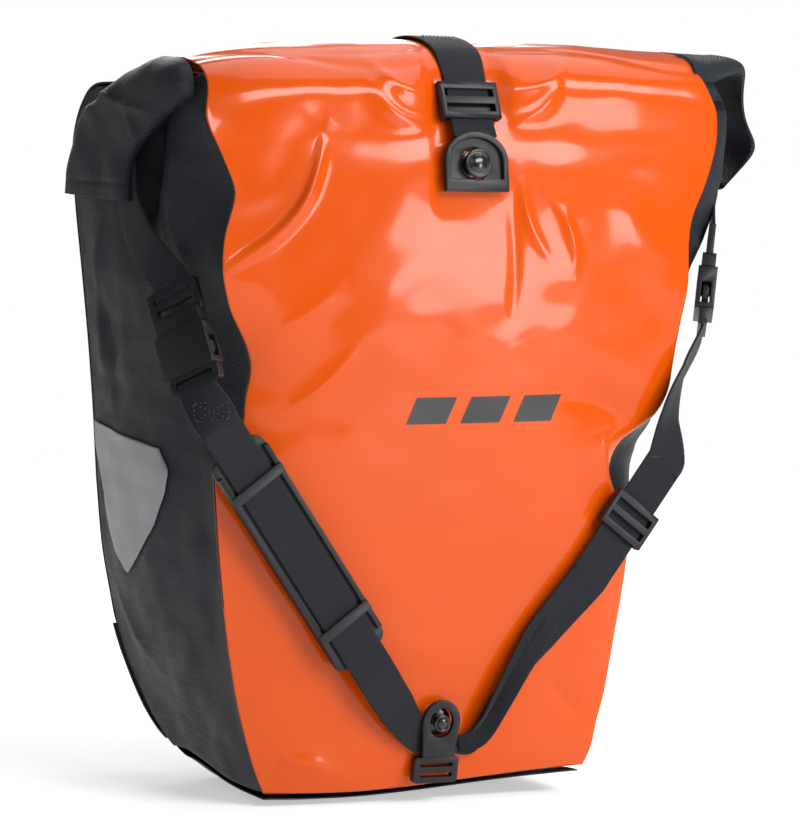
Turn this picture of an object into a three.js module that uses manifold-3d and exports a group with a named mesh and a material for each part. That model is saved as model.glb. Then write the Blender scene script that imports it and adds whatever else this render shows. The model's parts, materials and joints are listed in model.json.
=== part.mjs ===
// Roll-top bicycle pannier: a closed, upright bag of welded tarpaulin panels with a rolled mouth,
// a front strap closure, a shoulder strap clipped down the front, and hook-and-rail rack hardware.
// Millimetres. -Y is the front, +X is to the right when looking at the front, +Z is up.
// The origin is on the floor, under the middle of the bag's width.
import * as THREE from 'three';
import { mergeVertices } from 'three/addons/utils/BufferGeometryUtils.js';
import Module from 'manifold-3d';

const wasm = await Module();
wasm.setup();

// ---- driving dimensions ----------------------------------------------------------------------
const GAP = 0.3;                 // air between pieces that touch
const CLOTH = 2;                 // thickness of a tarpaulin panel
const WEB = 1.6;                 // thickness of webbing
const WEB_WIDTH = 25;            // width of webbing
const BAND_WIDTH = 29;           // width of the closure strap

// The front of the bag, from floor to neck: half width, depth at the side seams, depth at the
// middle line. The bag widens and leans forward as it rises, then tucks back under the roll.
const FRONT_STATIONS = [
  { z: 2.3, half: 101, seam: -70, belly: -77 },
  { z: 14, half: 107, seam: -73, belly: -81 },
  { z: 45, half: 115, seam: -75, belly: -84 },
  { z: 90, half: 124, seam: -78, belly: -89 },
  { z: 150, half: 132, seam: -83, belly: -95 },
  { z: 225, half: 139, seam: -89, belly: -101 },
  { z: 300, half: 149, seam: -94, belly: -105 },
  { z: 365, half: 159, seam: -93, belly: -99 },
  { z: 392, half: 163, seam: -87, belly: -89 },
  { z: 401, half: 164, seam: -78, belly: -79 },
  { z: 404.5, half: 164, seam: -64, belly: -65 },
];
const BACK_Y = 78;               // flat back face, which lies against the rack
const BACK_FLARE = 8;            // how much wider the back is than the front, on each side
// The lower back corner is a flattened curve: its middle, how deep and high it is, and its power.
const HEEL = { y: 28, z: 85, deep: 50, high: 85, power: 1.7 };
const SHOULDER = { y: 44, z: 366, radius: 34, bend: 0.75 };  // rounded upper back corner
const NECK_Y = -54;              // where the back panel ends under the roll
const NECK_Z = 404.5;
const GUSSET_BULGE = [
  { z: 2.3, bulge: 0 }, { z: 60, bulge: 6 }, { z: 150, bulge: 11 }, { z: 250, bulge: 12 },
  { z: 330, bulge: 7 }, { z: 390, bulge: 1 }, { z: 404.5, bulge: 0 },
];

// The rolled mouth.
const ROLL = { y: -43, z: 418.5, depth: 36, height: 13, turns: 3, pitch: 3.2, strip: 2.4, half: 163 };
const STIFFENER = { width: 40, thickness: 1.4, half: 150 };
const ROLL_END = { thickness: 6, slope: 0.22 };

// Studs and catches on the front.
const TOP_STUD_Z = 363;
const LOWER_STUD_Z = 48;
const STUD_SHANK = 2.4;          // radius
const STUD_FLANGE = 8;           // radius
const CLOSURE_CATCH = { half: 20, foot: -15.5, arch: 16, rim: 3.4, back: 2.4, deep: 4, hole: 9.3 };
const LOWER_CATCH = { half: 12, foot: -20, arch: 13, back: 4, deep: 3 };

// The slider on the closure strap: its middle, and the way the strap falls there (Y, Z).
const PULL_GAP = 2.2;            // from the slider to the hinge line of the pull strap
const SLIDER = { y: -91.6, z: 398, width: 37, length: 22, fall: [-10, -22] };

// Side-release buckles: where each one is, and the way its strap runs down and faces.
const BUCKLES = {
  left: { at: [-163.5, -76, 268], along: [0.102, -0.444, -0.889], normal: [-0.86, -0.5, 0] },
  right: { at: [171, -77, 302], along: [-0.22, -0.25, -0.94], normal: [0.86, -0.5, 0] },
};

// The shoulder strap's straight runs, which the pad and the adjuster slide on, as (X, Z).
const STRAP_Y = -98;
const PAD_RUN = { top: [-149, 216], bottom: [-46, 76] };
const ADJUSTER_RUN = { top: [136, 196], bottom: [88, 129] };
const PAD = { length: 144, width: 36, floor: 2.4, rail: 3, bar: 6, inset: 24 };

// Rack hardware on the back.
const RAIL = { half: 97, z: 340, base: 34, neck: 20, flange: 26 };
const LOWER_RAIL = { half: 64, z: 130, base: 28, neck: 12, flange: 18 };
const RAIL_STEPS = { base: 2.7, neck: 3, flange: 3 };    // depths, outward from the back
const HOOK = {
  x: 87, width: 19, y: 104, z: 352, throat: 9, wall: 5, tipZ: 334, rootZ: 340, boss: 5.5,
  insertHalf: 6.3, insertFoot: 342, seatZ: 358,
};
const LATCH = { x: 101.5, width: 7, pivotY: 98, pivotZ: 366, arm: 13, pin: 2, swing: 0.4538 };
const HANDLE = { y: 92, footZ: 379, width: 20 };
const LOWER_HOOK = { z: 130, half: 13, hookY: 93.3, disc: 11, armHalf: 9, pin: 3, head: 4 };
const TOP_SCREW_X = 45;
const LOWER_SCREW_X = 57;
const SCREW_RADIUS = 2;
const JAW = 4.6;                 // how far a jaw reaches past a rail's flange
const BOARD = { half: 108, lowZ: 92, highZ: 358, thickness: 2.5 };

// ---- materials -------------------------------------------------------------------------------
const finish = (color, roughness, metalness = 0) =>
  new THREE.MeshStandardMaterial({ color, roughness, metalness });
const ORANGE_TARPAULIN = finish(0xe85a1a, 0.28);
const BLACK_TARPAULIN = finish(0x2b2e36, 0.55);
const WEBBING = finish(0x1e1f24, 0.8);
const BLACK_PLASTIC = finish(0x15161a, 0.45);
const SOFT_INSERT = finish(0x3a3b3e, 0.8);
const REFLECTIVE = finish(0xb4b6b8, 0.4);
const BOARD_PLASTIC = finish(0x2a2a2c, 0.6);
const STEEL = finish(0xb0b2b5, 0.3, 1);

// ---- solids ----------------------------------------------------------------------------------
const model = new THREE.Group();

function add(name, geometry, material, parent = model) {
  const mesh = new THREE.Mesh(geometry, material);
  mesh.name = name;
  parent.add(mesh);
  return mesh;
}

const vec = (x, y, z) => new THREE.Vector3(x, y, z);

function toManifold(geometry) {
  const bare = geometry.clone();
  bare.deleteAttribute('normal');
  bare.deleteAttribute('uv');
  const merged = mergeVertices(bare, 1e-4);
  return new wasm.Manifold(new wasm.Mesh({
    numProp: 3,
    vertProperties: Float32Array.from(merged.attributes.position.array),
    triVerts: Uint32Array.from(merged.index.array),
  }));
}

function fromManifold(solid) {
  const mesh = solid.getMesh();
  const geometry = new THREE.BufferGeometry();
  geometry.setAttribute('position', new THREE.BufferAttribute(Float32Array.from(mesh.vertProperties), 3));
  geometry.setIndex(new THREE.BufferAttribute(Uint32Array.from(mesh.triVerts), 1));
  geometry.computeVertexNormals();
  return geometry;
}

const join = (...parts) => fromManifold(parts.map(toManifold).reduce((all, next) => all.add(next)));

const cut = (body, ...tools) =>
  fromManifold(tools.map(toManifold).reduce((left, tool) => left.subtract(tool), toManifold(body)));

// A closed solid between two facing surfaces, each a function of (u, v) from 0 to 1.
function solidBetween(outer, inner, across, rows) {
  const positions = [];
  const indices = [];
  const us = Array.from({ length: across + 1 }, (_, i) => i / across);
  for (const surface of [outer, inner]) {
    for (const v of rows) {
      for (const u of us) positions.push(...surface(u, v).toArray());
    }
  }
  const stride = across + 1;
  const layer = stride * rows.length;
  const quad = (a, b, c, d) => indices.push(a, b, c, a, c, d);
  for (let j = 0; j < rows.length - 1; j++) {
    for (let i = 0; i < across; i++) {
      const a = j * stride + i;
      quad(a, a + 1, a + stride + 1, a + stride);
      quad(layer + a, layer + a + stride, layer + a + stride + 1, layer + a + 1);
    }
    for (const i of [0, across]) {
      const a = j * stride + i;
      if (i === 0) quad(a, a + stride, layer + a + stride, layer + a);
      else quad(a, layer + a, layer + a + stride, a + stride);
    }
  }
  for (let i = 0; i < across; i++) {
    const top = (rows.length - 1) * stride + i;
    quad(i, layer + i, layer + i + 1, i + 1);
    quad(top, top + 1, layer + top + 1, layer + top);
  }
  const geometry = new THREE.BufferGeometry();
  geometry.setAttribute('position', new THREE.Float32BufferAttribute(positions, 3));
  geometry.setIndex(indices);
  return outward(geometry);
}

// Turns every face over when the solid was built inside out.
function outward(geometry) {
  const p = geometry.attributes.position;
  const index = geometry.index.array;
  let volume = 0;
  for (let i = 0; i < index.length; i += 3) {
    const [a, b, c] = [0, 1, 2].map((k) => new THREE.Vector3().fromBufferAttribute(p, index[i + k]));
    volume += a.dot(b.cross(c));
  }
  if (volume < 0) {
    for (let i = 0; i < index.length; i += 3) [index[i], index[i + 1]] = [index[i + 1], index[i]];
  }
  geometry.computeVertexNormals();
  return geometry;
}

const evenRows = (count) => Array.from({ length: count + 1 }, (_, i) => i / count);

// A smooth value at height z through a list of stations.
function smoothAt(stations, key, z) {
  let k = 0;
  while (k < stations.length - 2 && z > stations[k + 1].z) k++;
  const [s0, s1, s2, s3] = [k - 1, k, k + 1, k + 2].map(
    (i) => stations[THREE.MathUtils.clamp(i, 0, stations.length - 1)]);
  const span = s2.z - s1.z;
  const slope = (a, b) => (b.z === a.z ? 0 : (b[key] - a[key]) / (b.z - a.z));
  const m1 = slope(s0, s2) * span;
  const m2 = slope(s1, s3) * span;
  const t = THREE.MathUtils.clamp((z - s1.z) / span, 0, 1);
  return (2 * t ** 3 - 3 * t ** 2 + 1) * s1[key] + (t ** 3 - 2 * t ** 2 + t) * m1
    + (3 * t ** 2 - 2 * t ** 3) * s2[key] + (t ** 3 - t ** 2) * m2;
}

// A plate: a rounded outline with holes, extruded by its thickness along +Z.
function roundedOutline(path, x0, y0, x1, y1, r) {
  path.moveTo(x0 + r, y0);
  path.lineTo(x1 - r, y0);
  path.absarc(x1 - r, y0 + r, r, -Math.PI / 2, 0);
  path.lineTo(x1, y1 - r);
  path.absarc(x1 - r, y1 - r, r, 0, Math.PI / 2);
  path.lineTo(x0 + r, y1);
  path.absarc(x0 + r, y1 - r, r, Math.PI / 2, Math.PI);
  path.lineTo(x0, y0 + r);
  path.absarc(x0 + r, y0 + r, r, Math.PI, 1.5 * Math.PI);
  return path;
}

function extrude(shape, depth, curveSegments = 4) {
  return new THREE.ExtrudeGeometry(shape, { depth, bevelEnabled: false, curveSegments });
}

function plate(x0, y0, x1, y1, z0, z1, r = 1, holes = []) {
  const shape = roundedOutline(new THREE.Shape(), x0, y0, x1, y1, r);
  for (const [hx0, hy0, hx1, hy1, hr] of holes) {
    shape.holes.push(roundedOutline(new THREE.Path(), hx0, hy0, hx1, hy1, hr));
  }
  return extrude(shape, z1 - z0, 3).translate(0, 0, z0);
}

const box = (x0, y0, z0, x1, y1, z1) => new THREE.BoxGeometry(x1 - x0, y1 - y0, z1 - z0)
  .translate((x0 + x1) / 2, (y0 + y1) / 2, (z0 + z1) / 2);

// A round bar along the Y axis between two depths.
const barAlongY = (x, z, radius, y0, y1, sides = 20) =>
  new THREE.CylinderGeometry(radius, radius, y1 - y0, sides).translate(x, (y0 + y1) / 2, z);

// A round bar along the X axis.
const barAlongX = (y, z, radius, x0, x1, sides = 16) =>
  new THREE.CylinderGeometry(radius, radius, x1 - x0, sides).rotateZ(Math.PI / 2)
    .translate((x0 + x1) / 2, y, z);

// An outline in the Y-Z plane, extruded along X from x0 to x1.
function slab(shape, x0, x1, curveSegments = 6) {
  return extrude(shape, x1 - x0, curveSegments).rotateY(Math.PI / 2).rotateX(Math.PI / 2)
    .translate(x0, 0, 0);
}

// Flat webbing through points of { at, normal, width }; a width left out is the webbing's own.
function webbing(points, thickness = WEB) {
  const path = new THREE.CatmullRomCurve3(points.map(({ at }) => vec(...at)), false, 'centripetal');
  const last = points.length - 1;
  const widthOf = (point) => point.width ?? WEB_WIDTH;
  const place = (u, v, side) => {
    const k = Math.min(Math.floor(v * last), last - 1);
    const share = v * last - k;
    const normal = vec(...points[k].normal).normalize().lerp(vec(...points[k + 1].normal).normalize(), share);
    const tangent = path.getTangent(v);
    const across = tangent.clone().cross(normal).normalize();
    const out = across.clone().cross(tangent).normalize();
    const width = THREE.MathUtils.lerp(widthOf(points[k]), widthOf(points[k + 1]), share);
    return path.getPoint(v).addScaledVector(across, (u - 0.5) * width)
      .addScaledVector(out, side * thickness / 2);
  };
  return solidBetween((u, v) => place(u, v, 1), (u, v) => place(u, v, -1), 1, evenRows(last * 3));
}

// Four points along a straight run, so that the curve through them stays straight.
function straightRun([x0, z0], [x1, z1], y) {
  return [0, 0.04, 0.96, 1].map((t) => ({
    at: [THREE.MathUtils.lerp(x0, x1, t), y, THREE.MathUtils.lerp(z0, z1, t)], normal: [0, -1, 0],
  }));
}

// A group whose X runs across a strap, Y along it and Z out of it.
function onStrap(position, along, normal) {
  const y = along.clone().normalize();
  const x = y.clone().cross(normal).normalize();
  const z = x.clone().cross(y).normalize();
  const group = new THREE.Group();
  group.position.copy(position);
  group.quaternion.setFromRotationMatrix(new THREE.Matrix4().makeBasis(x, y, z));
  model.add(group);
  return group;
}

// ---- the bag's surfaces ----------------------------------------------------------------------
const front = (key, z) => smoothAt(FRONT_STATIONS, key, z);
const bulgeAt = (z) => smoothAt(GUSSET_BULGE, 'bulge', z);

// The side seam of the front panel at height z, moved inward by a distance.
function seamPoint(z, inset) {
  const low = Math.max(z - 0.5, FRONT_STATIONS[0].z);
  const high = Math.min(z + 0.5, NECK_Z);
  const tangent = new THREE.Vector2(front('seam', high) - front('seam', low), high - low).normalize();
  return { y: front('seam', z) + tangent.y * inset, z: z - tangent.x * inset };
}

// The front panel's outer face. u runs across from -1 to 1.
function frontFace(u, z) {
  const seam = front('seam', z);
  const belly = front('belly', z);
  return vec(u * front('half', z), seam + (belly - seam) * (1 - Math.abs(u) ** 3), z);
}

// A point on the heel's curve, moved inward; turn runs from 0 at the floor to 1 at the back.
function heelPoint(turn, inset) {
  const angle = THREE.MathUtils.clamp(turn, 0, 1) * Math.PI / 2;
  return {
    y: HEEL.y + (HEEL.deep - inset) * Math.sin(angle) ** (2 / HEEL.power),
    z: HEEL.z - (HEEL.high - inset) * Math.cos(angle) ** (2 / HEEL.power),
  };
}

// The back outline at height z, moved inward: round the heel, up the back, over the shoulder and
// forward to the neck.
function backPoint(z, inset) {
  const top = SHOULDER.radius - inset;
  if (z < HEEL.z) {
    const share = Math.min((HEEL.z - z) / (HEEL.high - inset), 1);
    return heelPoint(Math.acos(share ** (HEEL.power / 2)) * 2 / Math.PI, inset);
  }
  if (z < SHOULDER.z) return { y: BACK_Y - inset, z };
  const share = (z - SHOULDER.z) / (NECK_Z - SHOULDER.z);
  if (share < SHOULDER.bend) {
    const turn = (share / SHOULDER.bend) * Math.PI / 2;
    return { y: SHOULDER.y + top * Math.cos(turn), z: SHOULDER.z + top * Math.sin(turn) };
  }
  const run = (share - SHOULDER.bend) / (1 - SHOULDER.bend);
  return {
    y: THREE.MathUtils.lerp(SHOULDER.y, NECK_Y, run),
    z: THREE.MathUtils.lerp(SHOULDER.z + top, NECK_Z - inset, run),
  };
}

// Half the width of the bag's back at height z.
const backHalf = (z) => front('half', z)
  + BACK_FLARE * THREE.MathUtils.smoothstep(z, 40, 150) * (1 - THREE.MathUtils.smoothstep(z, 350, 395));

const LOW_HEIGHTS = [2.3, 8, 14, 20, 32, 45, 67];
const FRONT_HEIGHTS = [...LOW_HEIGHTS, 90, 120, 150, 187, 225, 262, 300, 333, 365, 380, 392, 397,
  401, 403, NECK_Z];
const SIDE_HEIGHTS = [...LOW_HEIGHTS, HEEL.z, 130, 170, 210, 250, 290, 330, 366, 375, 384, 391,
  395, 399, NECK_Z];
const FLOOR_EDGE = FRONT_STATIONS[0].z;
const toRows = (heights) => heights.map((z) => (z - FLOOR_EDGE) / (NECK_Z - FLOOR_EDGE));
const toHeight = (v) => FLOOR_EDGE + v * (NECK_Z - FLOOR_EDGE);

// ---- bag panels ------------------------------------------------------------------------------
function frontPanel() {
  const outer = (u, v) => frontFace(2 * u - 1, toHeight(v));
  const inner = (u, v) => {
    const z = toHeight(v);
    const seam = seamPoint(z, CLOTH);
    return outer(u, v).add(vec(0, seam.y - front('seam', z), seam.z - z));
  };
  const body = solidBetween(outer, inner, 12, toRows(FRONT_HEIGHTS));
  return cut(body, ...[TOP_STUD_Z, LOWER_STUD_Z].map((z) => barAlongY(0, z, STUD_SHANK + GAP, -120, -60)));
}

// How far out the gusset is at height z; u runs from the front seam to the back.
const sideX = (u, z) =>
  THREE.MathUtils.lerp(front('half', z), backHalf(z), u) + bulgeAt(z) * Math.sin(Math.PI * u);

// A gusset fills one side, between the front seam and the back outline.
function gusset(side) {
  const inset = CLOTH + GAP;
  const place = (u, v, depth) => {
    const z = toHeight(v);
    const seam = seamPoint(z, inset);
    const back = backPoint(z, inset);
    const x = sideX(u, z) - depth;
    return vec(side * x, THREE.MathUtils.lerp(seam.y, back.y, u), THREE.MathUtils.lerp(seam.z, back.z, u));
  };
  return solidBetween((u, v) => place(u, v, 0), (u, v) => place(u, v, CLOTH), 8, toRows(SIDE_HEIGHTS));
}

// The gusset's outer face at a depth y and height z between heel and shoulder.
function gussetX(y, z) {
  const seam = front('seam', z) + CLOTH + GAP;
  return sideX(THREE.MathUtils.clamp((y - seam) / (BACK_Y - CLOTH - GAP - seam), 0, 1), z);
}

// The back panel runs from the top of the heel to the neck.
function backPanel() {
  const heights = SIDE_HEIGHTS.filter((z) => z > HEEL.z);
  const low = HEEL.z + GAP;
  const rows = [low, ...heights].map((z) => (z - low) / (NECK_Z - low));
  const place = (u, v, inset) => {
    const { y, z } = backPoint(low + v * (NECK_Z - low), inset);
    return vec((2 * u - 1) * backHalf(Math.min(z, NECK_Z)), y, z);
  };
  const body = solidBetween((u, v) => place(u, v, 0), (u, v) => place(u, v, CLOTH), 4, rows);
  return cut(body, ...screwHoles());
}

const screwPlaces = [
  [-TOP_SCREW_X, RAIL.z], [TOP_SCREW_X, RAIL.z],
  [-LOWER_SCREW_X, LOWER_RAIL.z], [LOWER_SCREW_X, LOWER_RAIL.z],
];
const screwHoles = () => screwPlaces.map(([x, z]) => barAlongY(x, z, SCREW_RADIUS + GAP, 60, 100, 12));

// The bottom panel lies on the floor and turns up round the heel.
function bottomPanel() {
  const frontEdge = FRONT_STATIONS[0].seam - 2;
  const turnSteps = 12;
  const rows = evenRows(turnSteps + 1);
  const place = (u, v, inset) => {
    const heel = heelPoint((v * (turnSteps + 1) - 1) / turnSteps, inset);
    const x = (2 * u - 1) * backHalf(Math.max(heel.z, FLOOR_EDGE));
    return v === 0 ? vec(x, frontEdge, inset) : vec(x, heel.y, heel.z);
  };
  return solidBetween((u, v) => place(u, v, 0), (u, v) => place(u, v, CLOTH), 4, rows);
}

// The mouth, rolled round its stiffener: one strip in a flattened spiral.
function rolledMouth() {
  const steps = ROLL.turns * 18;
  const point = (i, inset) => {
    const turn = (i / steps) * ROLL.turns;
    const shrink = ROLL.pitch * turn + inset;
    const angle = -Math.PI / 2 - 2 * Math.PI * turn;
    return new THREE.Vector2(
      ROLL.y + (ROLL.depth - shrink) * Math.cos(angle), ROLL.z + (ROLL.height - shrink) * Math.sin(angle));
  };
  const count = Array.from({ length: steps + 1 }, (_, i) => i);
  const outline = [...count.map((i) => point(i, 0)), ...count.reverse().map((i) => point(i, ROLL.strip))];
  return slab(new THREE.Shape(outline), -ROLL.half, ROLL.half);
}

// A roll end is the flattened mouth past the end of the roll: a list of stations out from the roll,
// each with its front and back edge and the way its upper face looks, as (X, Z).
const ROLL_START = ROLL.half + GAP;
const LEFT_ROLL_END = [
  { x: ROLL_START, z: 418, y0: -74, y1: 26, out: [0.3, 1] },
  { x: ROLL_START + 4, z: 413, y0: -66, y1: 42, out: [0.7, 0.8] },
  { x: ROLL_START + 5, z: 400, y0: -42, y1: 56, out: [1, 0.3] },
  { x: ROLL_START + 5, z: 368, y0: -18, y1: 64, out: [1, 0] },
  { x: ROLL_START + 6, z: 330, y0: -31, y1: 68, out: [1, 0] },
];
const RIGHT_ROLL_END = [
  { x: ROLL_START, z: 418, y0: -74, y1: 20, out: [0.1, 1] },
  { x: 184, z: 419, y0: -66, y1: 26, out: [0.15, 1] },
  { x: 196, z: 415, y0: -56, y1: 30, out: [0.7, 0.8] },
  { x: 199, z: 398, y0: -52, y1: 34, out: [1, 0.15] },
  { x: 213, z: 374, y0: -48, y1: 34, out: [1, 0.2] },
  { x: 198, z: 352, y0: -46, y1: 28, out: [1, -0.5] },
];

// The roll end bends down over the side, lower at its back edge than at its front edge.
function rollEnd(side, stations) {
  const last = stations.length - 1;
  const place = (u, v, depth) => {
    const k = Math.min(Math.floor(v * last), last - 1);
    const share = v * last - k;
    const mix = (key) => THREE.MathUtils.lerp(stations[k][key], stations[k + 1][key], share);
    const out = [0, 1].map((i) => THREE.MathUtils.lerp(stations[k].out[i], stations[k + 1].out[i], share));
    const away = depth * (1 - 0.35 * Math.abs(2 * u - 1) ** 2);
    const y = THREE.MathUtils.lerp(mix('y0'), mix('y1'), u);
    const fall = ROLL_END.slope * Math.max(y - ROLL.y, 0) * (1 - v);
    return vec(side * (mix('x') + out[0] * away), y, mix('z') + out[1] * away - fall);
  };
  return solidBetween(
    (u, v) => place(u, v, ROLL_END.thickness), (u, v) => place(u, v, 0), 6, evenRows(2 * last));
}

// A shield of reflective film on the gusset, wide at the top.
function reflector(side) {
  const backEdge = [[36, 122], [57, 142], [68, 172], [72, 202]];
  const frontEdge = [[30, 122], [-5, 145], [-22, 164], [-33, 191]];
  const edge = (points, v) => {
    const t = v * (points.length - 1);
    const k = Math.min(Math.floor(t), points.length - 2);
    return points[k].map((value, i) => THREE.MathUtils.lerp(value, points[k + 1][i], t - k));
  };
  const place = (u, v, lift) => {
    const [y, z] = edge(backEdge, v).map((value, i) => THREE.MathUtils.lerp(value, edge(frontEdge, v)[i], u));
    return vec(side * (gussetX(y, z) + lift), y, z);
  };
  return solidBetween((u, v) => place(u, v, 1.3), (u, v) => place(u, v, 0.5), 6, evenRows(6));
}

// A plastic guard follows the heel's edge, from the floor's end to the back.
function edgeGuard(side) {
  const clearance = 3 * GAP;
  const thickness = 1.6;
  const width = 20;
  const start = 0.3;
  const steps = 9;
  const place = (u, v, lift) => {
    const { y, z } = heelPoint(THREE.MathUtils.lerp(start, 1, v), -clearance - lift);
    return vec(side * (backHalf(z) + 1 - width * u), y, z);
  };
  return solidBetween((u, v) => place(u, v, thickness), (u, v) => place(u, v, 0), 1, evenRows(steps));
}

function backBoard() {
  const y1 = BACK_Y - CLOTH - GAP;
  const board = plate(-BOARD.half, BOARD.lowZ, BOARD.half, BOARD.highZ, 0, BOARD.thickness, 12)
    .rotateX(Math.PI / 2).translate(0, y1, 0);
  return cut(board, ...screwHoles());
}

add('front_panel', frontPanel(), ORANGE_TARPAULIN);
add('back_panel', backPanel(), BLACK_TARPAULIN);
add('bottom_panel', bottomPanel(), BLACK_TARPAULIN);
add('rolled_mouth', rolledMouth(), ORANGE_TARPAULIN);
add('mouth_stiffener', box(-STIFFENER.half, ROLL.y - STIFFENER.width / 2, ROLL.z - STIFFENER.thickness / 2,
  STIFFENER.half, ROLL.y + STIFFENER.width / 2, ROLL.z + STIFFENER.thickness / 2), BOARD_PLASTIC);
add('back_board', backBoard(), BOARD_PLASTIC);
for (const [name, side, stations] of [['left', -1, LEFT_ROLL_END], ['right', 1, RIGHT_ROLL_END]]) {
  add(`${name}_gusset`, gusset(side), BLACK_TARPAULIN);
  add(`${name}_roll_end`, rollEnd(side, stations), BLACK_TARPAULIN);
  add(`${name}_reflector`, reflector(side), REFLECTIVE);
  add(`${name}_edge_guard`, edgeGuard(side), BLACK_PLASTIC);
}

// ---- studs and front catches -----------------------------------------------------------------
// A group on the front panel's middle line: X across, Y inward, Z up the cloth.
function onFront(z) {
  const step = 4;
  const group = new THREE.Group();
  group.position.set(0, front('belly', z), z);
  group.rotation.x = Math.atan2(front('belly', z - step) - front('belly', z + step), 2 * step);
  model.add(group);
  group.updateMatrixWorld(true);
  return group;
}

// A turned profile of [radius, distance out from the cloth].
const turned = (profile, sides = 20) =>
  new THREE.LatheGeometry(profile.map(([r, out]) => new THREE.Vector2(r, out)), sides).rotateX(Math.PI);

// A stud: shank through the cloth, flange against it, neck, and a head with a raised rim round a dome.
const stud = (head) => turned([
  [0, -6], [STUD_SHANK, -6], [STUD_SHANK, GAP], [STUD_FLANGE, GAP], [STUD_FLANGE, 1.9], [3.2, 2.2],
  [3.2, 5.4], [head - 0.6, 6], [head, 6.6], [head, 7.8], [head - 0.8, 8.6], [head - 2, 7.6],
  [head * 0.6, 8.6], [head * 0.35, 9.5], [0, 9.9],
]);

const studWasher = () => turned([
  [STUD_SHANK + GAP, -2.7], [STUD_FLANGE, -2.7], [STUD_FLANGE, -5.4], [STUD_SHANK + GAP, -5.4],
  [STUD_SHANK + GAP, -2.7],
].reverse());

// The closure catch: a D-shaped rim round a thin floor with a hole for the stud's head.
function closureCatch() {
  const { half, foot, arch, rim, back, deep } = CLOSURE_CATCH;
  const outline = (inset) => {
    const shape = new THREE.Shape();
    shape.moveTo(-half + inset, foot + inset * 2);
    shape.lineTo(half - inset, foot + inset * 2);
    shape.lineTo(half - inset, 2);
    shape.absellipse(0, 2, half - inset, arch - inset, 0, Math.PI);
    return shape;
  };
  const body = extrude(outline(0), deep, 8).rotateX(Math.PI / 2).translate(0, -back, 0);
  const recess = extrude(outline(rim), deep, 8).rotateX(Math.PI / 2).translate(0, -back - 1.3, 0);
  const hole = barAlongY(0, 0, CLOSURE_CATCH.hole, -20, 0);
  return cut(body, recess, hole);
}

// The lower catch: a tongue with an oval eye over the stud.
function lowerCatch() {
  const { half, foot, arch, back, deep } = LOWER_CATCH;
  const tongue = new THREE.Shape();
  tongue.moveTo(-half + 2, foot);
  tongue.lineTo(half - 2, foot);
  tongue.lineTo(half, 0);
  tongue.absellipse(0, 0, half, arch, 0, Math.PI);
  const eye = new THREE.Path();
  eye.absellipse(0, 0, 7.4, 8.8, 0, 2 * Math.PI);
  tongue.holes.push(eye);
  return extrude(tongue, deep, 8).rotateX(Math.PI / 2).translate(0, -back, 0);
}

// The anchor: a two-bar frame at the bag's foot that the lower catch turns on.
function lowerAnchor() {
  const top = LOWER_CATCH.foot - 0.4;
  const frame = plate(-14, top - 15, 14, top, 0, 4.4, 2, [[-10.5, top - 5.6, 10.5, top - 3.4, 0.8],
    [-10.5, top - 11.6, 10.5, top - 9, 0.8]]);
  return frame.rotateX(Math.PI / 2).translate(0, -0.9, 0);
}

const topFrame = onFront(TOP_STUD_Z);
const lowFrame = onFront(LOWER_STUD_Z);
add('closure_stud', stud(8.2), BLACK_PLASTIC, topFrame);
add('closure_stud_washer', studWasher(), STEEL, topFrame);
add('closure_catch', closureCatch(), BLACK_PLASTIC, topFrame);
add('lower_stud', stud(5.2), BLACK_PLASTIC, lowFrame);
add('lower_stud_washer', studWasher(), STEEL, lowFrame);
add('lower_catch', lowerCatch(), BLACK_PLASTIC, lowFrame);
add('lower_anchor', lowerAnchor(), BLACK_PLASTIC, lowFrame);

// ---- closure strap ---------------------------------------------------------------------------
// A slider is a flat sleeve round the strap with two windows in its front.
function slider(width, length, webWidth) {
  const inside = webWidth / 2 + 0.7;
  const sleeve = box(-width / 2, -length / 2, -2.6, width / 2, length / 2, 3.2);
  const passage = box(-inside, -length, -1.4, inside, length, 1.4);
  const window = (y) => box(-inside, y - 2.2, 1, inside, y + 2.2, 5);
  return cut(sleeve, passage, window(-length * 0.2), window(length * 0.2));
}

const sliderAt = vec(0, SLIDER.y, SLIDER.z);
const sliderAlong = vec(0, SLIDER.fall[0], SLIDER.fall[1]).normalize();
const sliderOut = [0, SLIDER.fall[1], -SLIDER.fall[0]];
const alongSlider = (distance) => sliderAt.clone().addScaledVector(sliderAlong, distance).toArray();

// A point on the strap over the roll, at an angle in degrees from the roll's back.
function overRoll(degrees) {
  const angle = THREE.MathUtils.degToRad(degrees);
  const lift = 2.4;
  const [c, s] = [Math.cos(angle), Math.sin(angle)];
  return {
    at: [0, ROLL.y + (ROLL.depth + lift) * c, ROLL.z + (ROLL.height + lift) * s],
    normal: [0, c * ROLL.height, s * ROLL.depth],
  };
}

add('closure_strap', webbing([
  { at: [0, 52, 402.6], normal: [0, 0.2, 1] },
  { at: [0, 30, 405.4], normal: [0, 0, 1] },
  { at: [0, 6, 412], normal: [0, 0, 1] },
  ...[40, 65, 90, 115, 140, 162].map(overRoll),
  { at: alongSlider(-12), normal: sliderOut },
  { at: alongSlider(0), normal: sliderOut },
].map((point) => ({ ...point, width: BAND_WIDTH }))), WEBBING);
add('closure_slider', slider(SLIDER.width, SLIDER.length, BAND_WIDTH), BLACK_PLASTIC,
  onStrap(sliderAt, sliderAlong, vec(...sliderOut)));
const catchTop = topFrame.localToWorld(vec(0, -1.3, 9.4)).toArray();
const catchRim = topFrame.localToWorld(vec(0, -1.3, 15)).toArray();
add('closure_pull_strap', webbing([
  { at: alongSlider(SLIDER.length / 2 + PULL_GAP), normal: sliderOut },
  { at: catchRim, normal: [0, -1, 0.25] },
  { at: catchTop, normal: [0, -1, 0.2] },
].map((point) => ({ ...point, width: BAND_WIDTH - 2 })), 1.8), WEBBING);

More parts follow.
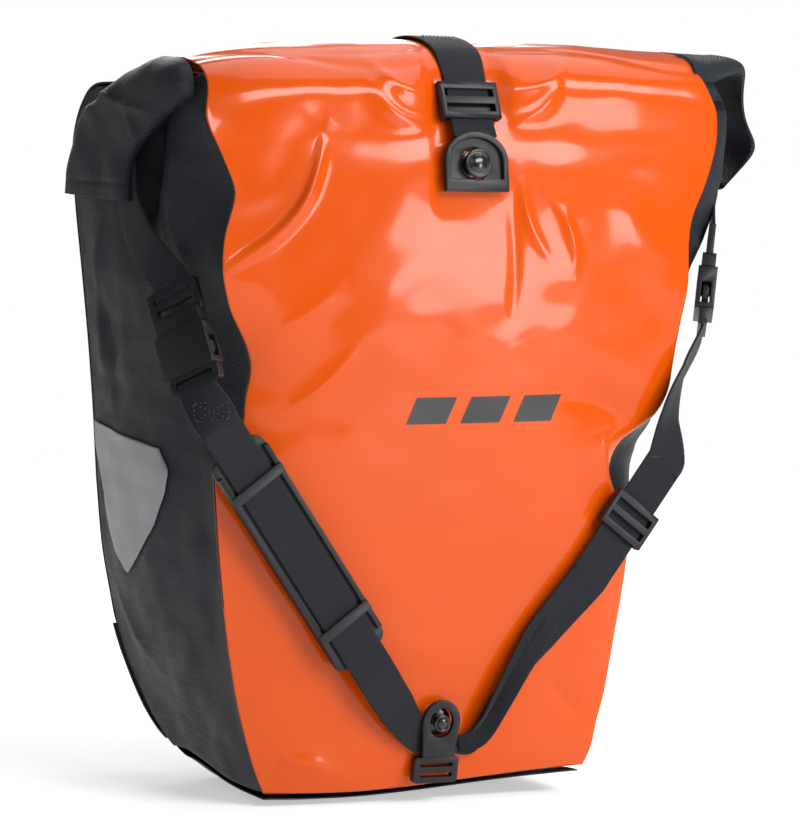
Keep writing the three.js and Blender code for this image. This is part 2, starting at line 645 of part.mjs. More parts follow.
// ---- side-release buckles --------------------------------------------------------------------
// In a buckle's own frame X runs across, Y down the strap and Z out; plug and socket meet at Y = 0.
function bucklePlug() {
  const ladder = plate(-17, -26, 17, -7.5, -2, 2, 2, [[-13, -22.5, 13, -19.5, 0.8], [-13, -15.5, 13, -12, 0.8]]);
  const shoulder = box(-15, -8.5, -4, 15, -1, 4);
  const guide = box(-1.6, -2, -1.4, 1.6, 14, 1.4);
  return join(ladder, shoulder, guide);
}

function buckleProng(side) {
  const outline = [[9.6, -0.6], [12.8, -0.6], [13.2, 9], [16.6, 12.5], [16.6, 17], [13.4, 22], [10.4, 22], [9.6, 9]];
  const shape = new THREE.Shape(outline.map(([x, y]) => new THREE.Vector2(side * x, y)));
  return extrude(shape, 3.6).translate(0, 0, -1.8);
}

function buckleSocket() {
  const shell = plate(-17, -0.6, 17, 25, -5.5, 5.5, 2.5);
  const strapBar = plate(-17, 24, 17, 34, -2.5, 2.5, 3, [[-13, 27, 13, 30.5, 0.8]]);
  const hollow = box(-14.2, -2, -2.8, 14.2, 22.7, 2.8);
  const windows = [-1, 1].map((side) => box(side * 16 - 3, 9.2, -2.8, side * 16 + 3, 21.6, 2.8));
  return cut(join(shell, strapBar), hollow, ...windows);
}

const sides = [['left', -1], ['right', 1]];
const alongBuckle = (name, distance) => {
  const { at, along } = BUCKLES[name];
  return vec(...at).addScaledVector(vec(...along).normalize(), distance).toArray();
};

// Where each side tab leaves the roll's end, down to its buckle.
const TAB_STARTS = {
  left: [
    { at: [-(gussetX(-30, 338) + 2), -30, 338], normal: [-1, 0, 0] },
    { at: [-(gussetX(-38, 324) + 2.5), -38, 324], normal: [-1, 0, 0] },
    { at: [-(gussetX(-51, 307) + 4), -51, 307], normal: [-1, -0.3, 0] },
  ],
  right: [
    { at: [192, -45, 348], normal: [0.95, -0.4, 0] },
    { at: [186, -55, 341], normal: [0.9, -0.45, 0] },
    { at: alongBuckle('right', -33), normal: BUCKLES.right.normal },
  ],
};

for (const [name] of sides) {
  const { at, along, normal } = BUCKLES[name];
  const frame = onStrap(vec(...at), vec(...along), vec(...normal));
  add(`${name}_buckle_plug`, bucklePlug(), BLACK_PLASTIC, frame);
  add(`${name}_buckle_socket`, buckleSocket(), BLACK_PLASTIC, frame);
  add(`${name}_prong_a`, buckleProng(-1), BLACK_PLASTIC, frame);
  add(`${name}_prong_b`, buckleProng(1), BLACK_PLASTIC, frame);
  add(`${name}_side_tab`, webbing([...TAB_STARTS[name], { at: alongBuckle(name, -28.8), normal }]), WEBBING);
}

// ---- shoulder strap --------------------------------------------------------------------------
const buckleTail = (name) => ({ at: alongBuckle(name, 36.5), normal: BUCKLES[name].normal });

// The strap gathers to a narrow band behind the lower catch.
const underCatch = (x) => ({
  at: lowFrame.localToWorld(vec(x, -1.7, -14)).toArray(), normal: [0, -1, 0], width: 10,
});

add('left_strap', webbing([
  buckleTail('left'),
  { at: [-154.5, STRAP_Y + 2, 225], normal: [-0.5, -0.87, 0] },
  ...straightRun(PAD_RUN.top, PAD_RUN.bottom, STRAP_Y),
  { at: [-30, -91.6, 56], normal: [0, -1, 0], width: 20 },
  { at: [-15, -86.6, 38.5], normal: [0, -1, 0], width: 12 },
  underCatch(-4),
  underCatch(12),
]), WEBBING);
add('right_strap', webbing([
  buckleTail('right'),
  { at: [153, -90, 246], normal: [0.86, -0.5, 0] },
  { at: [144, -94, 221], normal: [0.6, -0.8, 0] },
  ...straightRun(ADJUSTER_RUN.top, ADJUSTER_RUN.bottom, STRAP_Y),
  { at: [56, -93.5, 92], normal: [0, -1, 0], width: 22 },
  { at: [34, -90, 60], normal: [0, -1, 0], width: 16 },
  { at: [27, -87.4, 40], normal: [0, -1, 0], width: 12 },
  underCatch(18),
  underCatch(12 + GAP * 2),
]), WEBBING);

const runFrame = ({ top, bottom }) => onStrap(
  vec((top[0] + bottom[0]) / 2, STRAP_Y, (top[1] + bottom[1]) / 2),
  vec(bottom[0] - top[0], 0, bottom[1] - top[1]), vec(0, -1, 0));

// The pad is a tray under the strap with two bridges over it.
function shoulderPad() {
  const { length, width, floor, rail, bar, inset } = PAD;
  const low = -WEB / 2 - GAP;
  const high = WEB / 2 + GAP;
  const tray = plate(-width / 2, -length / 2, width / 2, length / 2, low - floor, low, 6);
  const rails = [-1, 1].map((side) => box(
    side * (width - rail) / 2 - rail / 2, -length / 2 + 8, low - 1, side * (width - rail) / 2 + rail / 2,
    length / 2 - 8, high + 0.8));
  const bridges = [-1, 1].map((end) => box(
    -width / 2, end * (length / 2 - inset) - bar / 2, high, width / 2, end * (length / 2 - inset) + bar / 2, high + 2));
  return join(tray, ...rails, ...bridges);
}
add('shoulder_pad', shoulderPad(), BLACK_PLASTIC, runFrame(PAD_RUN));
add('strap_adjuster', slider(32, 22, WEB_WIDTH), BLACK_PLASTIC, runFrame(ADJUSTER_RUN));

// ---- rack hardware ---------------------------------------------------------------------------
// A rail's section steps out from the back: a wide base, a narrow neck and a flange.
const railFaces = (() => {
  const base = BACK_Y + GAP + RAIL_STEPS.base;
  const neck = base + RAIL_STEPS.neck;
  return { back: BACK_Y + GAP, base, neck, front: neck + RAIL_STEPS.flange };
})();

function rail({ half, z, base, neck, flange }) {
  const { back, base: y1, neck: y2, front: y3 } = railFaces;
  const halves = [[back, base], [y1, base], [y1, neck], [y2, neck], [y2, flange], [y3, flange]];
  const points = [
    ...halves.map(([y, size]) => new THREE.Vector2(y, z + size / 2)),
    ...halves.reverse().map(([y, size]) => new THREE.Vector2(y, z - size / 2)),
  ];
  const bar = slab(new THREE.Shape(points), -half, half);
  return cut(bar, ...screwHoles());
}

// Jaws that grip a rail's flange: a plate across it with a hooked claw above and below.
function jaws({ z, neck, flange }, x0, x1, outY) {
  const { base, neck: neckY, front: faceY } = railFaces;
  const claws = [-1, 1].flatMap((up) => {
    const edge = z + up * (flange / 2 + GAP);
    const out = z + up * (flange / 2 + JAW);
    const lip = z + up * (neck / 2 + GAP);
    return [
      box(x0, base + GAP, Math.min(edge, out), x1, faceY + 1, Math.max(edge, out)),
      box(x0, base + GAP, Math.min(lip, edge + up), x1, neckY - GAP, Math.max(lip, edge + up)),
    ];
  });
  return [box(x0, faceY + GAP, z - flange / 2 - JAW, x1, outY, z + flange / 2 + JAW), ...claws];
}

function hook(side) {
  const { x, width, y, z, throat, wall, tipZ } = HOOK;
  const [x0, x1] = [side * x - width / 2, side * x + width / 2];
  const arch = new THREE.Shape();
  arch.moveTo(y - throat - wall, HOOK.rootZ);
  arch.lineTo(y - throat, HOOK.rootZ);
  arch.lineTo(y - throat, z);
  arch.absarc(y, z, throat, Math.PI, 0, true);
  arch.lineTo(y + throat, tipZ + 3);
  arch.lineTo(y + throat + 2, tipZ);
  arch.lineTo(y + throat + wall, tipZ);
  arch.lineTo(y + throat + wall, z);
  arch.absarc(y, z, throat + wall, 0, Math.PI, false);
  const boss = new THREE.Shape().absarc(LATCH.pivotY, LATCH.pivotZ, HOOK.boss, 0, 2 * Math.PI);
  const body = join(...jaws(RAIL, x0, x1, y - throat), slab(arch, x0, x1, 8), slab(boss, x0, x1));
  return cut(body, barAlongX(LATCH.pivotY, LATCH.pivotZ, LATCH.pin + GAP, x0 - 1, x1 + 1));
}

// A soft liner narrows the hook's throat to the rack's tube; its seat is flat.
function hookInsert(side) {
  const { x, width, y, z, throat } = HOOK;
  const outer = throat - GAP;
  const inner = HOOK.insertHalf;
  const foot = HOOK.insertFoot;
  const shape = new THREE.Shape();
  shape.moveTo(y - outer, foot);
  shape.lineTo(y - outer, z);
  shape.absarc(y, z, outer, Math.PI, 0, true);
  shape.lineTo(y + outer, foot);
  shape.lineTo(y + inner, foot);
  shape.lineTo(y + inner, z + 2);
  shape.lineTo(y + 3, HOOK.seatZ);
  shape.lineTo(y - 3, HOOK.seatZ);
  shape.lineTo(y - inner, z + 2);
  shape.lineTo(y - inner, foot);
  return slab(shape, side * x - width / 2 + 1, side * x + width / 2 - 1, 8);
}

// The latch beside each hook: a toe closes the throat and an arm is drawn up by the handle.
const pull = {
  y: LATCH.pivotY - LATCH.arm * Math.cos(LATCH.swing / 2),
  z: LATCH.pivotZ - LATCH.arm * Math.sin(LATCH.swing / 2),
};

function latch(side) {
  const { pivotY: y, pivotZ: z, x, width, pin } = LATCH;
  // The outline is measured from the pivot, as (Y, Z): toe, back of the stem, boss, arm, inner stem.
  const outline = [
    [-3.5, -30], [13, -30], [13.5, -27], [11, -24.5], [-1.5, -24.5], [-2.8, -21], [-3, -8], [3, -4],
    [4, 1], [0, 5], [-12, 0.8], [-15.2, -1.4], [-13.6, -5.6], [-6, -6], [-6.4, -21],
  ];
  const shape = new THREE.Shape(outline.map(([dy, dz]) => new THREE.Vector2(y + dy, z + dz)));
  const [x0, x1] = [side * x - width / 2, side * x + width / 2];
  const peg = side > 0 ? [x1 - 1, x1 + 7] : [x0 - 7, x0 + 1];
  const body = join(slab(shape, x0, x1), barAlongX(pull.y, pull.z, pin, peg[0], peg[1]));
  return cut(body, barAlongX(y, z, pin + GAP, x0 - 1, x1 + 1));
}

function latchPin(side) {
  const inner = side * (HOOK.x - HOOK.width / 2 + 1);
  const outer = side * (LATCH.x + LATCH.width / 2 + 1);
  return barAlongX(LATCH.pivotY, LATCH.pivotZ, LATCH.pin, Math.min(inner, outer), Math.max(inner, outer));
}

// A link hangs from each end of the handle and holds the latch's peg in a loose ring.
function handleLink(side) {
  const ring = 5.2;
  const shape = new THREE.Shape();
  shape.moveTo(pull.y - ring, pull.z);
  shape.absarc(pull.y, pull.z, ring, Math.PI, 1.75 * Math.PI);
  shape.lineTo(HANDLE.y + 4, HANDLE.footZ - 9);
  shape.lineTo(HANDLE.y + 9, HANDLE.footZ);
  shape.lineTo(HANDLE.y - 9, HANDLE.footZ);
  const eye = new THREE.Path().absarc(pull.y, pull.z, LATCH.pin + 1.3, 0, 2 * Math.PI);
  shape.holes.push(eye);
  const near = side * (LATCH.x + LATCH.width / 2 + 1.6);
  const far = near + side * 3;
  return slab(shape, Math.min(near, far), Math.max(near, far));
}

// The handle's arch from its end to its middle, as X and height over its foot.
const handlePath = [[108, 0.3], [107.4, 6], [99, 14], [80, 18.5], [40, 21], [0, 22]];
const handlePoint = ([x, rise], side) => ({
  at: [side * x, HANDLE.y, HANDLE.footZ + rise + 0.6],
  normal: [side * (rise < 10 ? 1 : x / 160), 0, rise < 10 ? rise / 10 : 1],
  width: HANDLE.width,
});

// The lower hook is a disc on the carriage with a bent arm that reaches round the rack's stay.
function lowerHook() {
  const { z, hookY: y, disc: radius, armHalf } = LOWER_HOOK;
  const disc = barAlongY(0, z, radius, y, y + 3.6, 24);
  const fin = new THREE.Shape();
  fin.moveTo(-9, y + 3);
  fin.lineTo(-9, y + 19);
  fin.quadraticCurveTo(-8, y + 25, -2, y + 25);
  fin.lineTo(9, y + 24);
  fin.lineTo(9, y + 20);
  fin.lineTo(-1, y + 20.5);
  fin.quadraticCurveTo(-4, y + 20, -4, y + 17);
  fin.lineTo(-4, y + 3);
  const arm = extrude(fin, 2 * armHalf, 5).translate(0, 0, z - armHalf);
  return cut(join(disc, arm), barAlongY(0, z, LOWER_HOOK.pin + GAP, y - 2, y + 6, 16));
}

function lowerCarriage() {
  const half = LOWER_HOOK.half;
  const body = join(...jaws(LOWER_RAIL, -half, half, LOWER_HOOK.hookY - GAP));
  return cut(body, barAlongY(0, LOWER_HOOK.z, LOWER_HOOK.pin + GAP, railFaces.front, LOWER_HOOK.hookY + 1, 16));
}

const lowerPivot = () => join(
  barAlongY(0, LOWER_HOOK.z, LOWER_HOOK.pin, railFaces.front + GAP * 2, LOWER_HOOK.hookY + 4.2, 16),
  barAlongY(0, LOWER_HOOK.z, LOWER_HOOK.head, LOWER_HOOK.hookY + 3.9, LOWER_HOOK.hookY + 5.4, 16));

function railScrew(x, z) {
  const headRadius = 3.8;
  const head = barAlongY(x, z, headRadius, railFaces.front + GAP, railFaces.front + 2.6, 16);
  const shank = barAlongY(x, z, SCREW_RADIUS, BACK_Y - 8, railFaces.front + 1, 12);
  const drive = barAlongY(x, z, 1.5, railFaces.front + 1.2, railFaces.front + 4, 6);
  return cut(join(head, shank), drive);
}

function nutPlate(half, z) {
  const y1 = BACK_Y - CLOTH - GAP * 2 - BOARD.thickness;
  return cut(box(-half, y1 - 3, z - 7, half, y1, z + 7), ...screwHoles());
}

add('top_rail', rail(RAIL), BLACK_PLASTIC);
add('lower_rail', rail(LOWER_RAIL), BLACK_PLASTIC);
add('top_nut_plate', nutPlate(TOP_SCREW_X + 12, RAIL.z), STEEL);
add('lower_nut_plate', nutPlate(LOWER_SCREW_X + 9, LOWER_RAIL.z), STEEL);
screwPlaces.forEach(([x, z], i) => add(`rail_screw_${i + 1}`, railScrew(x, z), STEEL));
for (const [name, side] of sides) {
  add(`${name}_hook`, hook(side), BLACK_PLASTIC);
  add(`${name}_hook_insert`, hookInsert(side), SOFT_INSERT);
  add(`${name}_latch`, latch(side), BLACK_PLASTIC);
  add(`${name}_latch_pin`, latchPin(side), STEEL);
  add(`${name}_handle_link`, handleLink(side), BLACK_PLASTIC);
}
add('carry_handle', webbing([
  ...handlePath.map((point) => handlePoint(point, -1)),
  ...handlePath.slice(0, -1).reverse().map((point) => handlePoint(point, 1)),
], 2.4), WEBBING);
add('lower_hook_carriage', lowerCarriage(), BLACK_PLASTIC);
add('lower_hook', lowerHook(), SOFT_INSERT);
add('lower_hook_pivot', lowerPivot(), STEEL);

export default model;
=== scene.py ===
# Looks of a roll-top bicycle pannier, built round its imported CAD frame.
# Metres. +X is right seen from the front, -Y is the front, +Z is up, the origin is on the floor.
import json
import math

import bmesh
import bpy
import numpy as np
from mathutils import Matrix, Vector
from mathutils.bvhtree import BVHTree


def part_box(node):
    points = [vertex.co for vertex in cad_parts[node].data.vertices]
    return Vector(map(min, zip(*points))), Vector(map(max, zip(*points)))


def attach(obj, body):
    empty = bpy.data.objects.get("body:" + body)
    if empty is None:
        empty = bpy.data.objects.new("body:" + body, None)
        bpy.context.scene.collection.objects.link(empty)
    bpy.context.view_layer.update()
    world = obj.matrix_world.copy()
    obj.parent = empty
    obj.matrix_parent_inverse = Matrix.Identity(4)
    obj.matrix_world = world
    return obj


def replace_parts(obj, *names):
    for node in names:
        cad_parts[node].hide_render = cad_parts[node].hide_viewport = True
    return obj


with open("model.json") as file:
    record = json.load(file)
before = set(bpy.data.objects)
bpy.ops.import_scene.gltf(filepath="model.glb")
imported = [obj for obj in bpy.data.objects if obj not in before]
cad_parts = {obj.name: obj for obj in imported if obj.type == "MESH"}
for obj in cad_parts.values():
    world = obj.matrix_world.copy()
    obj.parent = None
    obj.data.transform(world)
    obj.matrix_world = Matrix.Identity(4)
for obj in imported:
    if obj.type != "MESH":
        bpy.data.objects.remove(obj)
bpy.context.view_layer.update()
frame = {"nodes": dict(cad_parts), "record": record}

MM = 0.001
CLOTH = 0.8 * MM               # thickness of the coated cloth
WEB = 1.5 * MM                 # thickness of webbing
FILM_THICKNESS = 0.5 * MM
EDGE = 0.5 * MM                # rounding on moulded edges
AHEAD = -0.3                   # a depth well in front of the bag, where rays start
ASIDE = 0.4                    # a distance well clear of either side


# ---- reading the frame ---------------------------------------------------------------------------
class NodeShape:
    """A CAD node's surface, to be cut at a height or looked at along a ray."""

    def __init__(self, name):
        data = frame["nodes"][name].data
        self.points = np.array([v.co for v in data.vertices])
        self.edges = np.array([e.vertices[:] for e in data.edges])
        corners = [v.co for v in data.vertices]
        self.tree = BVHTree.FromPolygons(corners, [p.vertices[:] for p in data.polygons])

    def cut(self, z):
        """The points where the node's edges cross height z."""
        a, b = self.points[self.edges[:, 0]], self.points[self.edges[:, 1]]
        rise = b[:, 2] - a[:, 2]
        crosses = ((a[:, 2] - z) * (b[:, 2] - z) <= 0) & (np.abs(rise) > 1e-9)
        a, b, rise = a[crosses], b[crosses], rise[crosses]
        return a + (b - a) * ((z - a[:, 2]) / rise)[:, None]

    def look(self, origin, direction):
        """The first point met along a ray, or None."""
        return self.tree.ray_cast(Vector(origin), Vector(direction))[0]


def smoothed(values, passes, axis=0):
    """Values blurred along an axis, with both ends held."""
    values = np.moveaxis(np.array(values, float), axis, 0)
    for _ in range(passes):
        values[1:-1] = (values[:-2] + 2 * values[1:-1] + values[2:]) / 4
    return np.moveaxis(values, 0, axis)


def ease(t):
    t = np.clip(t, 0, 1)
    return t * t * (3 - 2 * t)


def bump_at(x, middle, spread):
    """A soft hump of height 1 round a middle."""
    return np.exp(-((x - middle) / spread) ** 2)


# ---- making meshes -------------------------------------------------------------------------------
def link(name, mesh, material, body):
    piece = bpy.data.objects.new(name, mesh)
    bpy.context.scene.collection.objects.link(piece)
    mesh.materials.append(material)
    mesh.shade_smooth()
    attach(piece, body)
    return piece


def grid_mesh(name, points, uv):
    """A sheet of quads through a (rows, columns, 3) array of points."""
    rows, columns = points.shape[:2]
    index = np.arange(rows * columns).reshape(rows, columns)
    quads = np.stack([index[:-1, :-1], index[:-1, 1:], index[1:, 1:], index[1:, :-1]], -1).reshape(-1, 4)
    mesh = bpy.data.meshes.new(name)
    mesh.from_pydata(points.reshape(-1, 3).tolist(), [], quads.tolist())
    layer = mesh.uv_layers.new(name="cloth")
    flat = uv.reshape(-1, 2)
    layer.data.foreach_set("uv", flat[quads.reshape(-1)].astype(np.float32).ravel())
    return mesh


def cloth_uv(points):
    """Distances along the sheet in metres, so that a weave keeps its real size."""
    across = np.linalg.norm(np.diff(points, axis=1), axis=2)
    up = np.linalg.norm(np.diff(points, axis=0), axis=2)
    u = np.concatenate([np.zeros((len(points), 1)), np.cumsum(across, 1)], 1)
    u -= u[:, u.shape[1] // 2][:, None]
    v = np.concatenate([np.zeros((1, points.shape[1])), np.cumsum(up, 0)], 0)
    middle = v[:, v.shape[1] // 2][:, None]
    return np.stack([u, np.broadcast_to(middle, u.shape)], -1)


def sheet(name, points, material, thickness=CLOTH):
    """A sheet of coated cloth on the bag whose outer face is the given grid."""
    piece = link(name, grid_mesh(name, points, cloth_uv(points)), material, "bag")
    solid = piece.modifiers.new("thickness", "SOLIDIFY")
    solid.thickness = thickness
    solid.offset = -1
    solid.use_even_offset = False
    return piece


def grid_normals(points):
    across = np.gradient(points, axis=1)
    up = np.gradient(points, axis=0)
    normals = np.cross(across, up)
    return normals / np.maximum(np.linalg.norm(normals, axis=2, keepdims=True), 1e-12)


def crease(a, b, start, end, bow, width, height, sharp=0.0):
    """Height of a fold over points (a, b): a curved line from start to end that bows sideways, fading
    at both ends. sharp from 0 to 1 makes one flank steeper."""
    start, end = np.array(start) * MM, np.array(end) * MM
    along = end - start
    side = np.array([-along[1], along[0]]) / np.linalg.norm(along)
    best = np.full(a.shape, 1e9)
    signed = np.zeros(a.shape)
    place = np.zeros(a.shape)
    steps = 28
    for i in range(steps):
        t0, t1 = i / steps, (i + 1) / steps
        p0 = start + along * t0 + side * bow * MM * math.sin(math.pi * t0)
        p1 = start + along * t1 + side * bow * MM * math.sin(math.pi * t1)
        run = p1 - p0
        t = np.clip(((a - p0[0]) * run[0] + (b - p0[1]) * run[1]) / (run @ run), 0, 1)
        da, db = a - p0[0] - run[0] * t, b - p0[1] - run[1] * t
        distance = np.hypot(da, db)
        closer = distance < best
        best = np.where(closer, distance, best)
        signed = np.where(closer, np.sign(run[0] * db - run[1] * da) * distance, signed)
        place = np.where(closer, t0 + (t1 - t0) * t, place)
    s = signed / (width * MM)
    hump = np.exp(-s ** 2) * (1 + sharp * np.tanh(3 * s))
    return height * MM * hump * np.sin(math.pi * np.clip(place, 0.02, 0.98)) ** 0.8


def creased(a, b, folds):
    """The folds' heights together; each fold is (start, end, bow, width, height, sharpness), all but
    the last in millimetres."""
    return sum(crease(a, b, *fold) for fold in folds)


def ripples(a, b, seed, size, height):
    """Soft irregular undulation: a few waves in directions drawn from a seeded generator."""
    draw = np.random.default_rng(seed)
    total = np.zeros(a.shape)
    for _ in range(9):
        angle = draw.uniform(0, 2 * math.pi)
        length = size * MM * draw.uniform(0.6, 1.7)
        phase = draw.uniform(0, 2 * math.pi)
        total += np.sin(2 * math.pi * (a * math.cos(angle) + b * math.sin(angle)) / length + phase)
    return height * MM * total / 3


def hermite(t, start, leave, end, arrive):
    """A place on the cubic curve from start to end with the given tangents at its ends."""
    return ((2 * t ** 3 - 3 * t ** 2 + 1) * start + (t ** 3 - 2 * t ** 2 + t) * leave
            + (3 * t ** 2 - 2 * t ** 3) * end + (t ** 3 - t ** 2) * arrive)


def smooth_path(points, steps):
    """Points on a smooth curve through the given ones, with their normals and widths carried along.
    Each given point is (position, normal, width)."""
    places = [Vector(p[0]) * MM for p in points]
    result = []
    last = len(places) - 1
    for k in range(last):
        p0 = places[max(k - 1, 0)]
        p1, p2 = places[k], places[k + 1]
        p3 = places[min(k + 2, last)]
        span = max((p2 - p1).length, 1e-9)
        m1 = (p2 - p0) * span / max((p1 - p0).length + span, 1e-9) if k > 0 else (p2 - p1)
        m2 = (p3 - p1) * span / max((p3 - p2).length + span, 1e-9) if k + 2 <= last else (p2 - p1)
        for i in range(steps + (k == last - 1)):
            t = i / steps
            at = hermite(t, p1, m1, p2, m2)
            normal = Vector(points[k][1]).normalized().lerp(Vector(points[k + 1][1]).normalized(), t)
            width = points[k][2] * (1 - t) + points[k + 1][2] * t
            result.append((at, normal, width * MM))
    return result


def tube_faces(rings, around):
    """Faces over a row of rings of points, closed at both ends."""
    faces = []
    for i in range(rings - 1):
        for j in range(around):
            k = (j + 1) % around
            faces.append((i * around + j, i * around + k, (i + 1) * around + k, (i + 1) * around + j))
    faces.append(tuple(range(around))[::-1])
    faces.append(tuple((rings - 1) * around + j for j in range(around)))
    return faces


def travelled(points):
    """The distance along a row of places to each of them."""
    return np.concatenate([[0], np.cumsum(np.linalg.norm(np.diff(points, axis=0), axis=1))])


def webbing_mesh(name, points, thickness, steps, curl):
    """Flat woven strap along a path: rounded edges, a slight crown, and UVs in metres."""
    path = smooth_path(points, steps)
    inner = [(-0.5, -0.2), (-0.49, -0.42), (-0.46, -0.5), (-0.2, -0.5), (0, -0.5), (0.2, -0.5),
             (0.46, -0.5), (0.49, -0.42), (0.5, -0.2)]
    around = inner + [(-u, -v) for u, v in inner]
    vertices, uvs = [], []
    distance = 0
    for i, (at, normal, width) in enumerate(path):
        before, after = path[max(i - 1, 0)][0], path[min(i + 1, len(path) - 1)][0]
        tangent = (after - before).normalized()
        across = tangent.cross(normal).normalized()
        out = across.cross(tangent).normalized()
        distance += (at - path[i - 1][0]).length if i else 0
        for u, side in around:
            crown = curl * MM * (1 - 4 * u * u)
            vertices.append(at + across * (u * width) + out * (side * thickness + crown))
            uvs.append((u * width, distance))
    mesh = bpy.data.meshes.new(name)
    mesh.from_pydata([v[:] for v in vertices], [], tube_faces(len(path), len(around)))
    layer = mesh.uv_layers.new(name="cloth")
    for loop in mesh.loops:
        layer.data[loop.index].uv = uvs[loop.vertex_index]
    fix_normals(mesh)
    return mesh


def fix_normals(mesh):
    """Turns every face of a closed mesh outwards."""
    work = bmesh.new()
    work.from_mesh(mesh)
    bmesh.ops.recalc_face_normals(work, faces=work.faces)
    work.to_mesh(mesh)
    work.free()


def refined(node, material, body, edge=EDGE, segments=2, bend=None):
    """A moulded or machined piece: the CAD solid with its facets merged and its edges rounded. bend
    takes a place on it to where the visible piece has it."""
    mesh = bpy.data.meshes.new(node + "_moulded")
    work = bmesh.new()
    work.from_mesh(frame["nodes"][node].data)
    bmesh.ops.remove_doubles(work, verts=work.verts, dist=0.005 * MM)
    bmesh.ops.dissolve_limit(work, angle_limit=math.radians(1.5), verts=work.verts, edges=work.edges)
    if bend:
        # Cuts every 10 mm across, so that long faces can follow the bend.
        for x in range(-160, 161, 10):
            bmesh.ops.bisect_plane(work, geom=work.verts[:] + work.edges[:] + work.faces[:],
                                   plane_co=(x * MM, 0, 0), plane_no=(1, 0, 0))
        for vertex in work.verts:
            vertex.co = Vector(bend(vertex.co))
    work.to_mesh(mesh)
    work.free()
    if not mesh.uv_layers:
        mesh.uv_layers.new(name="cloth")
    mesh.materials.clear()
    piece = link(mesh.name, mesh, material, body)
    bevel = piece.modifiers.new("rounded edges", "BEVEL")
    bevel.width = edge
    bevel.segments = segments
    bevel.limit_method = "ANGLE"
    bevel.angle_limit = math.radians(32)
    bevel.harden_normals = True
    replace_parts(piece, node)
    return piece


# ---- materials -----------------------------------------------------------------------------------
class Finish:
    """A procedural material: a principled shader with helpers for its nodes."""

    def __init__(self, name, color, roughness, metallic=0.0):
        self.material = bpy.data.materials.new(name)
        self.material.use_nodes = True
        self.tree = self.material.node_tree
        self.shader = self.tree.nodes["Principled BSDF"]
        self.shader.inputs["Base Color"].default_value = (*color, 1)
        self.shader.inputs["Roughness"].default_value = roughness
        self.shader.inputs["Metallic"].default_value = metallic
        self.color = color
        self.heights = None
        self.material.diffuse_color = (*color, 1)

    def feed(self, socket, value):
        """Links another node's output to a socket, or sets the socket to a plain value."""
        if hasattr(value, "is_output"):
            self.tree.links.new(value, socket)
        else:
            socket.default_value = value

    def node(self, kind, **inputs):
        made = self.tree.nodes.new(kind)
        for key, value in inputs.items():
            self.feed(made.inputs[key.replace("_", " ")], value)
        return made

    def math(self, operation, *values):
        made = self.tree.nodes.new("ShaderNodeMath")
        made.operation = operation
        for socket, value in zip(made.inputs, values):
            self.feed(socket, value)
        return made.outputs[0]

    def place(self, kind="UV"):
        return self.node("ShaderNodeTexCoord").outputs[kind]

    def waves(self, coordinate, axis, period):
        """A sine from -1 to 1 along one axis of a coordinate, with a period in metres."""
        split = self.node("ShaderNodeSeparateXYZ", Vector=coordinate)
        return self.math("SINE", self.math("MULTIPLY", split.outputs[axis], 2 * math.pi / period))

    def noise(self, coordinate, scale, detail=2.0):
        return self.node("ShaderNodeTexNoise", Vector=coordinate, Scale=scale, Detail=detail).outputs["Fac"]

    def between(self, low, high, fac):
        return self.node("ShaderNodeMapRange", Value=fac, To_Min=low, To_Max=high).outputs["Result"]

    def vary_color(self, amount, fac):
        """Darkens and lightens the base colour by a share, following fac."""
        tint = self.node("ShaderNodeVectorMath")
        tint.operation = "SCALE"
        tint.inputs[0].default_value = self.color
        self.feed(tint.inputs["Scale"], self.between(1 - amount, 1 + amount, fac))
        self.feed(self.shader.inputs["Base Color"], tint.outputs["Vector"])

    def vary_roughness(self, low, high, fac):
        self.feed(self.shader.inputs["Roughness"], self.between(low, high, fac))

    def bump(self, height, distance, strength=1.0):
        """Adds a bump layer whose height of 1 stands for a distance in metres."""
        layer = self.node("ShaderNodeBump", Height=height, Strength=strength, Distance=distance)
        if self.heights is not None:
            self.feed(layer.inputs["Normal"], self.heights)
        self.heights = layer.outputs["Normal"]
        self.feed(self.shader.inputs["Normal"], self.heights)

    def set(self, **values):
        for key, value in values.items():
            self.shader.inputs[key.replace("_", " ")].default_value = value


def woven(finish, coordinate, period, depth):
    """A plain weave: threads pass over and under each other, both ways."""
    warp = finish.waves(coordinate, 0, period)
    weft = finish.waves(coordinate, 1, period)
    finish.bump(finish.math("MULTIPLY", warp, weft), depth)


def orange_tarpaulin():
    finish = Finish("orange_tarpaulin", (0.55, 0.066, 0.001), 0.2)
    finish.set(Coat_Weight=0.35, Coat_Roughness=0.09, Specular_IOR_Level=0.12)
    cloth, solid = finish.place("UV"), finish.place("Object")
    finish.vary_color(0.05, finish.noise(solid, 14, 3))
    finish.vary_roughness(0.16, 0.28, finish.noise(solid, 22, 4))
    woven(finish, cloth, 1.5 * MM, 0.012 * MM)
    finish.bump(finish.noise(solid, 160, 2), 0.05 * MM)
    return finish.material


def black_tarpaulin():
    finish = Finish("black_tarpaulin", (0.009, 0.0115, 0.016), 0.42)
    finish.set(Specular_IOR_Level=0.24)
    cloth, solid = finish.place("UV"), finish.place("Object")
    finish.vary_color(0.35, finish.noise(solid, 30, 4))
    finish.vary_roughness(0.34, 0.56, finish.noise(solid, 45, 4))
    woven(finish, cloth, 2.1 * MM, 0.26 * MM)
    finish.bump(finish.noise(solid, 90, 3), 0.12 * MM)
    return finish.material


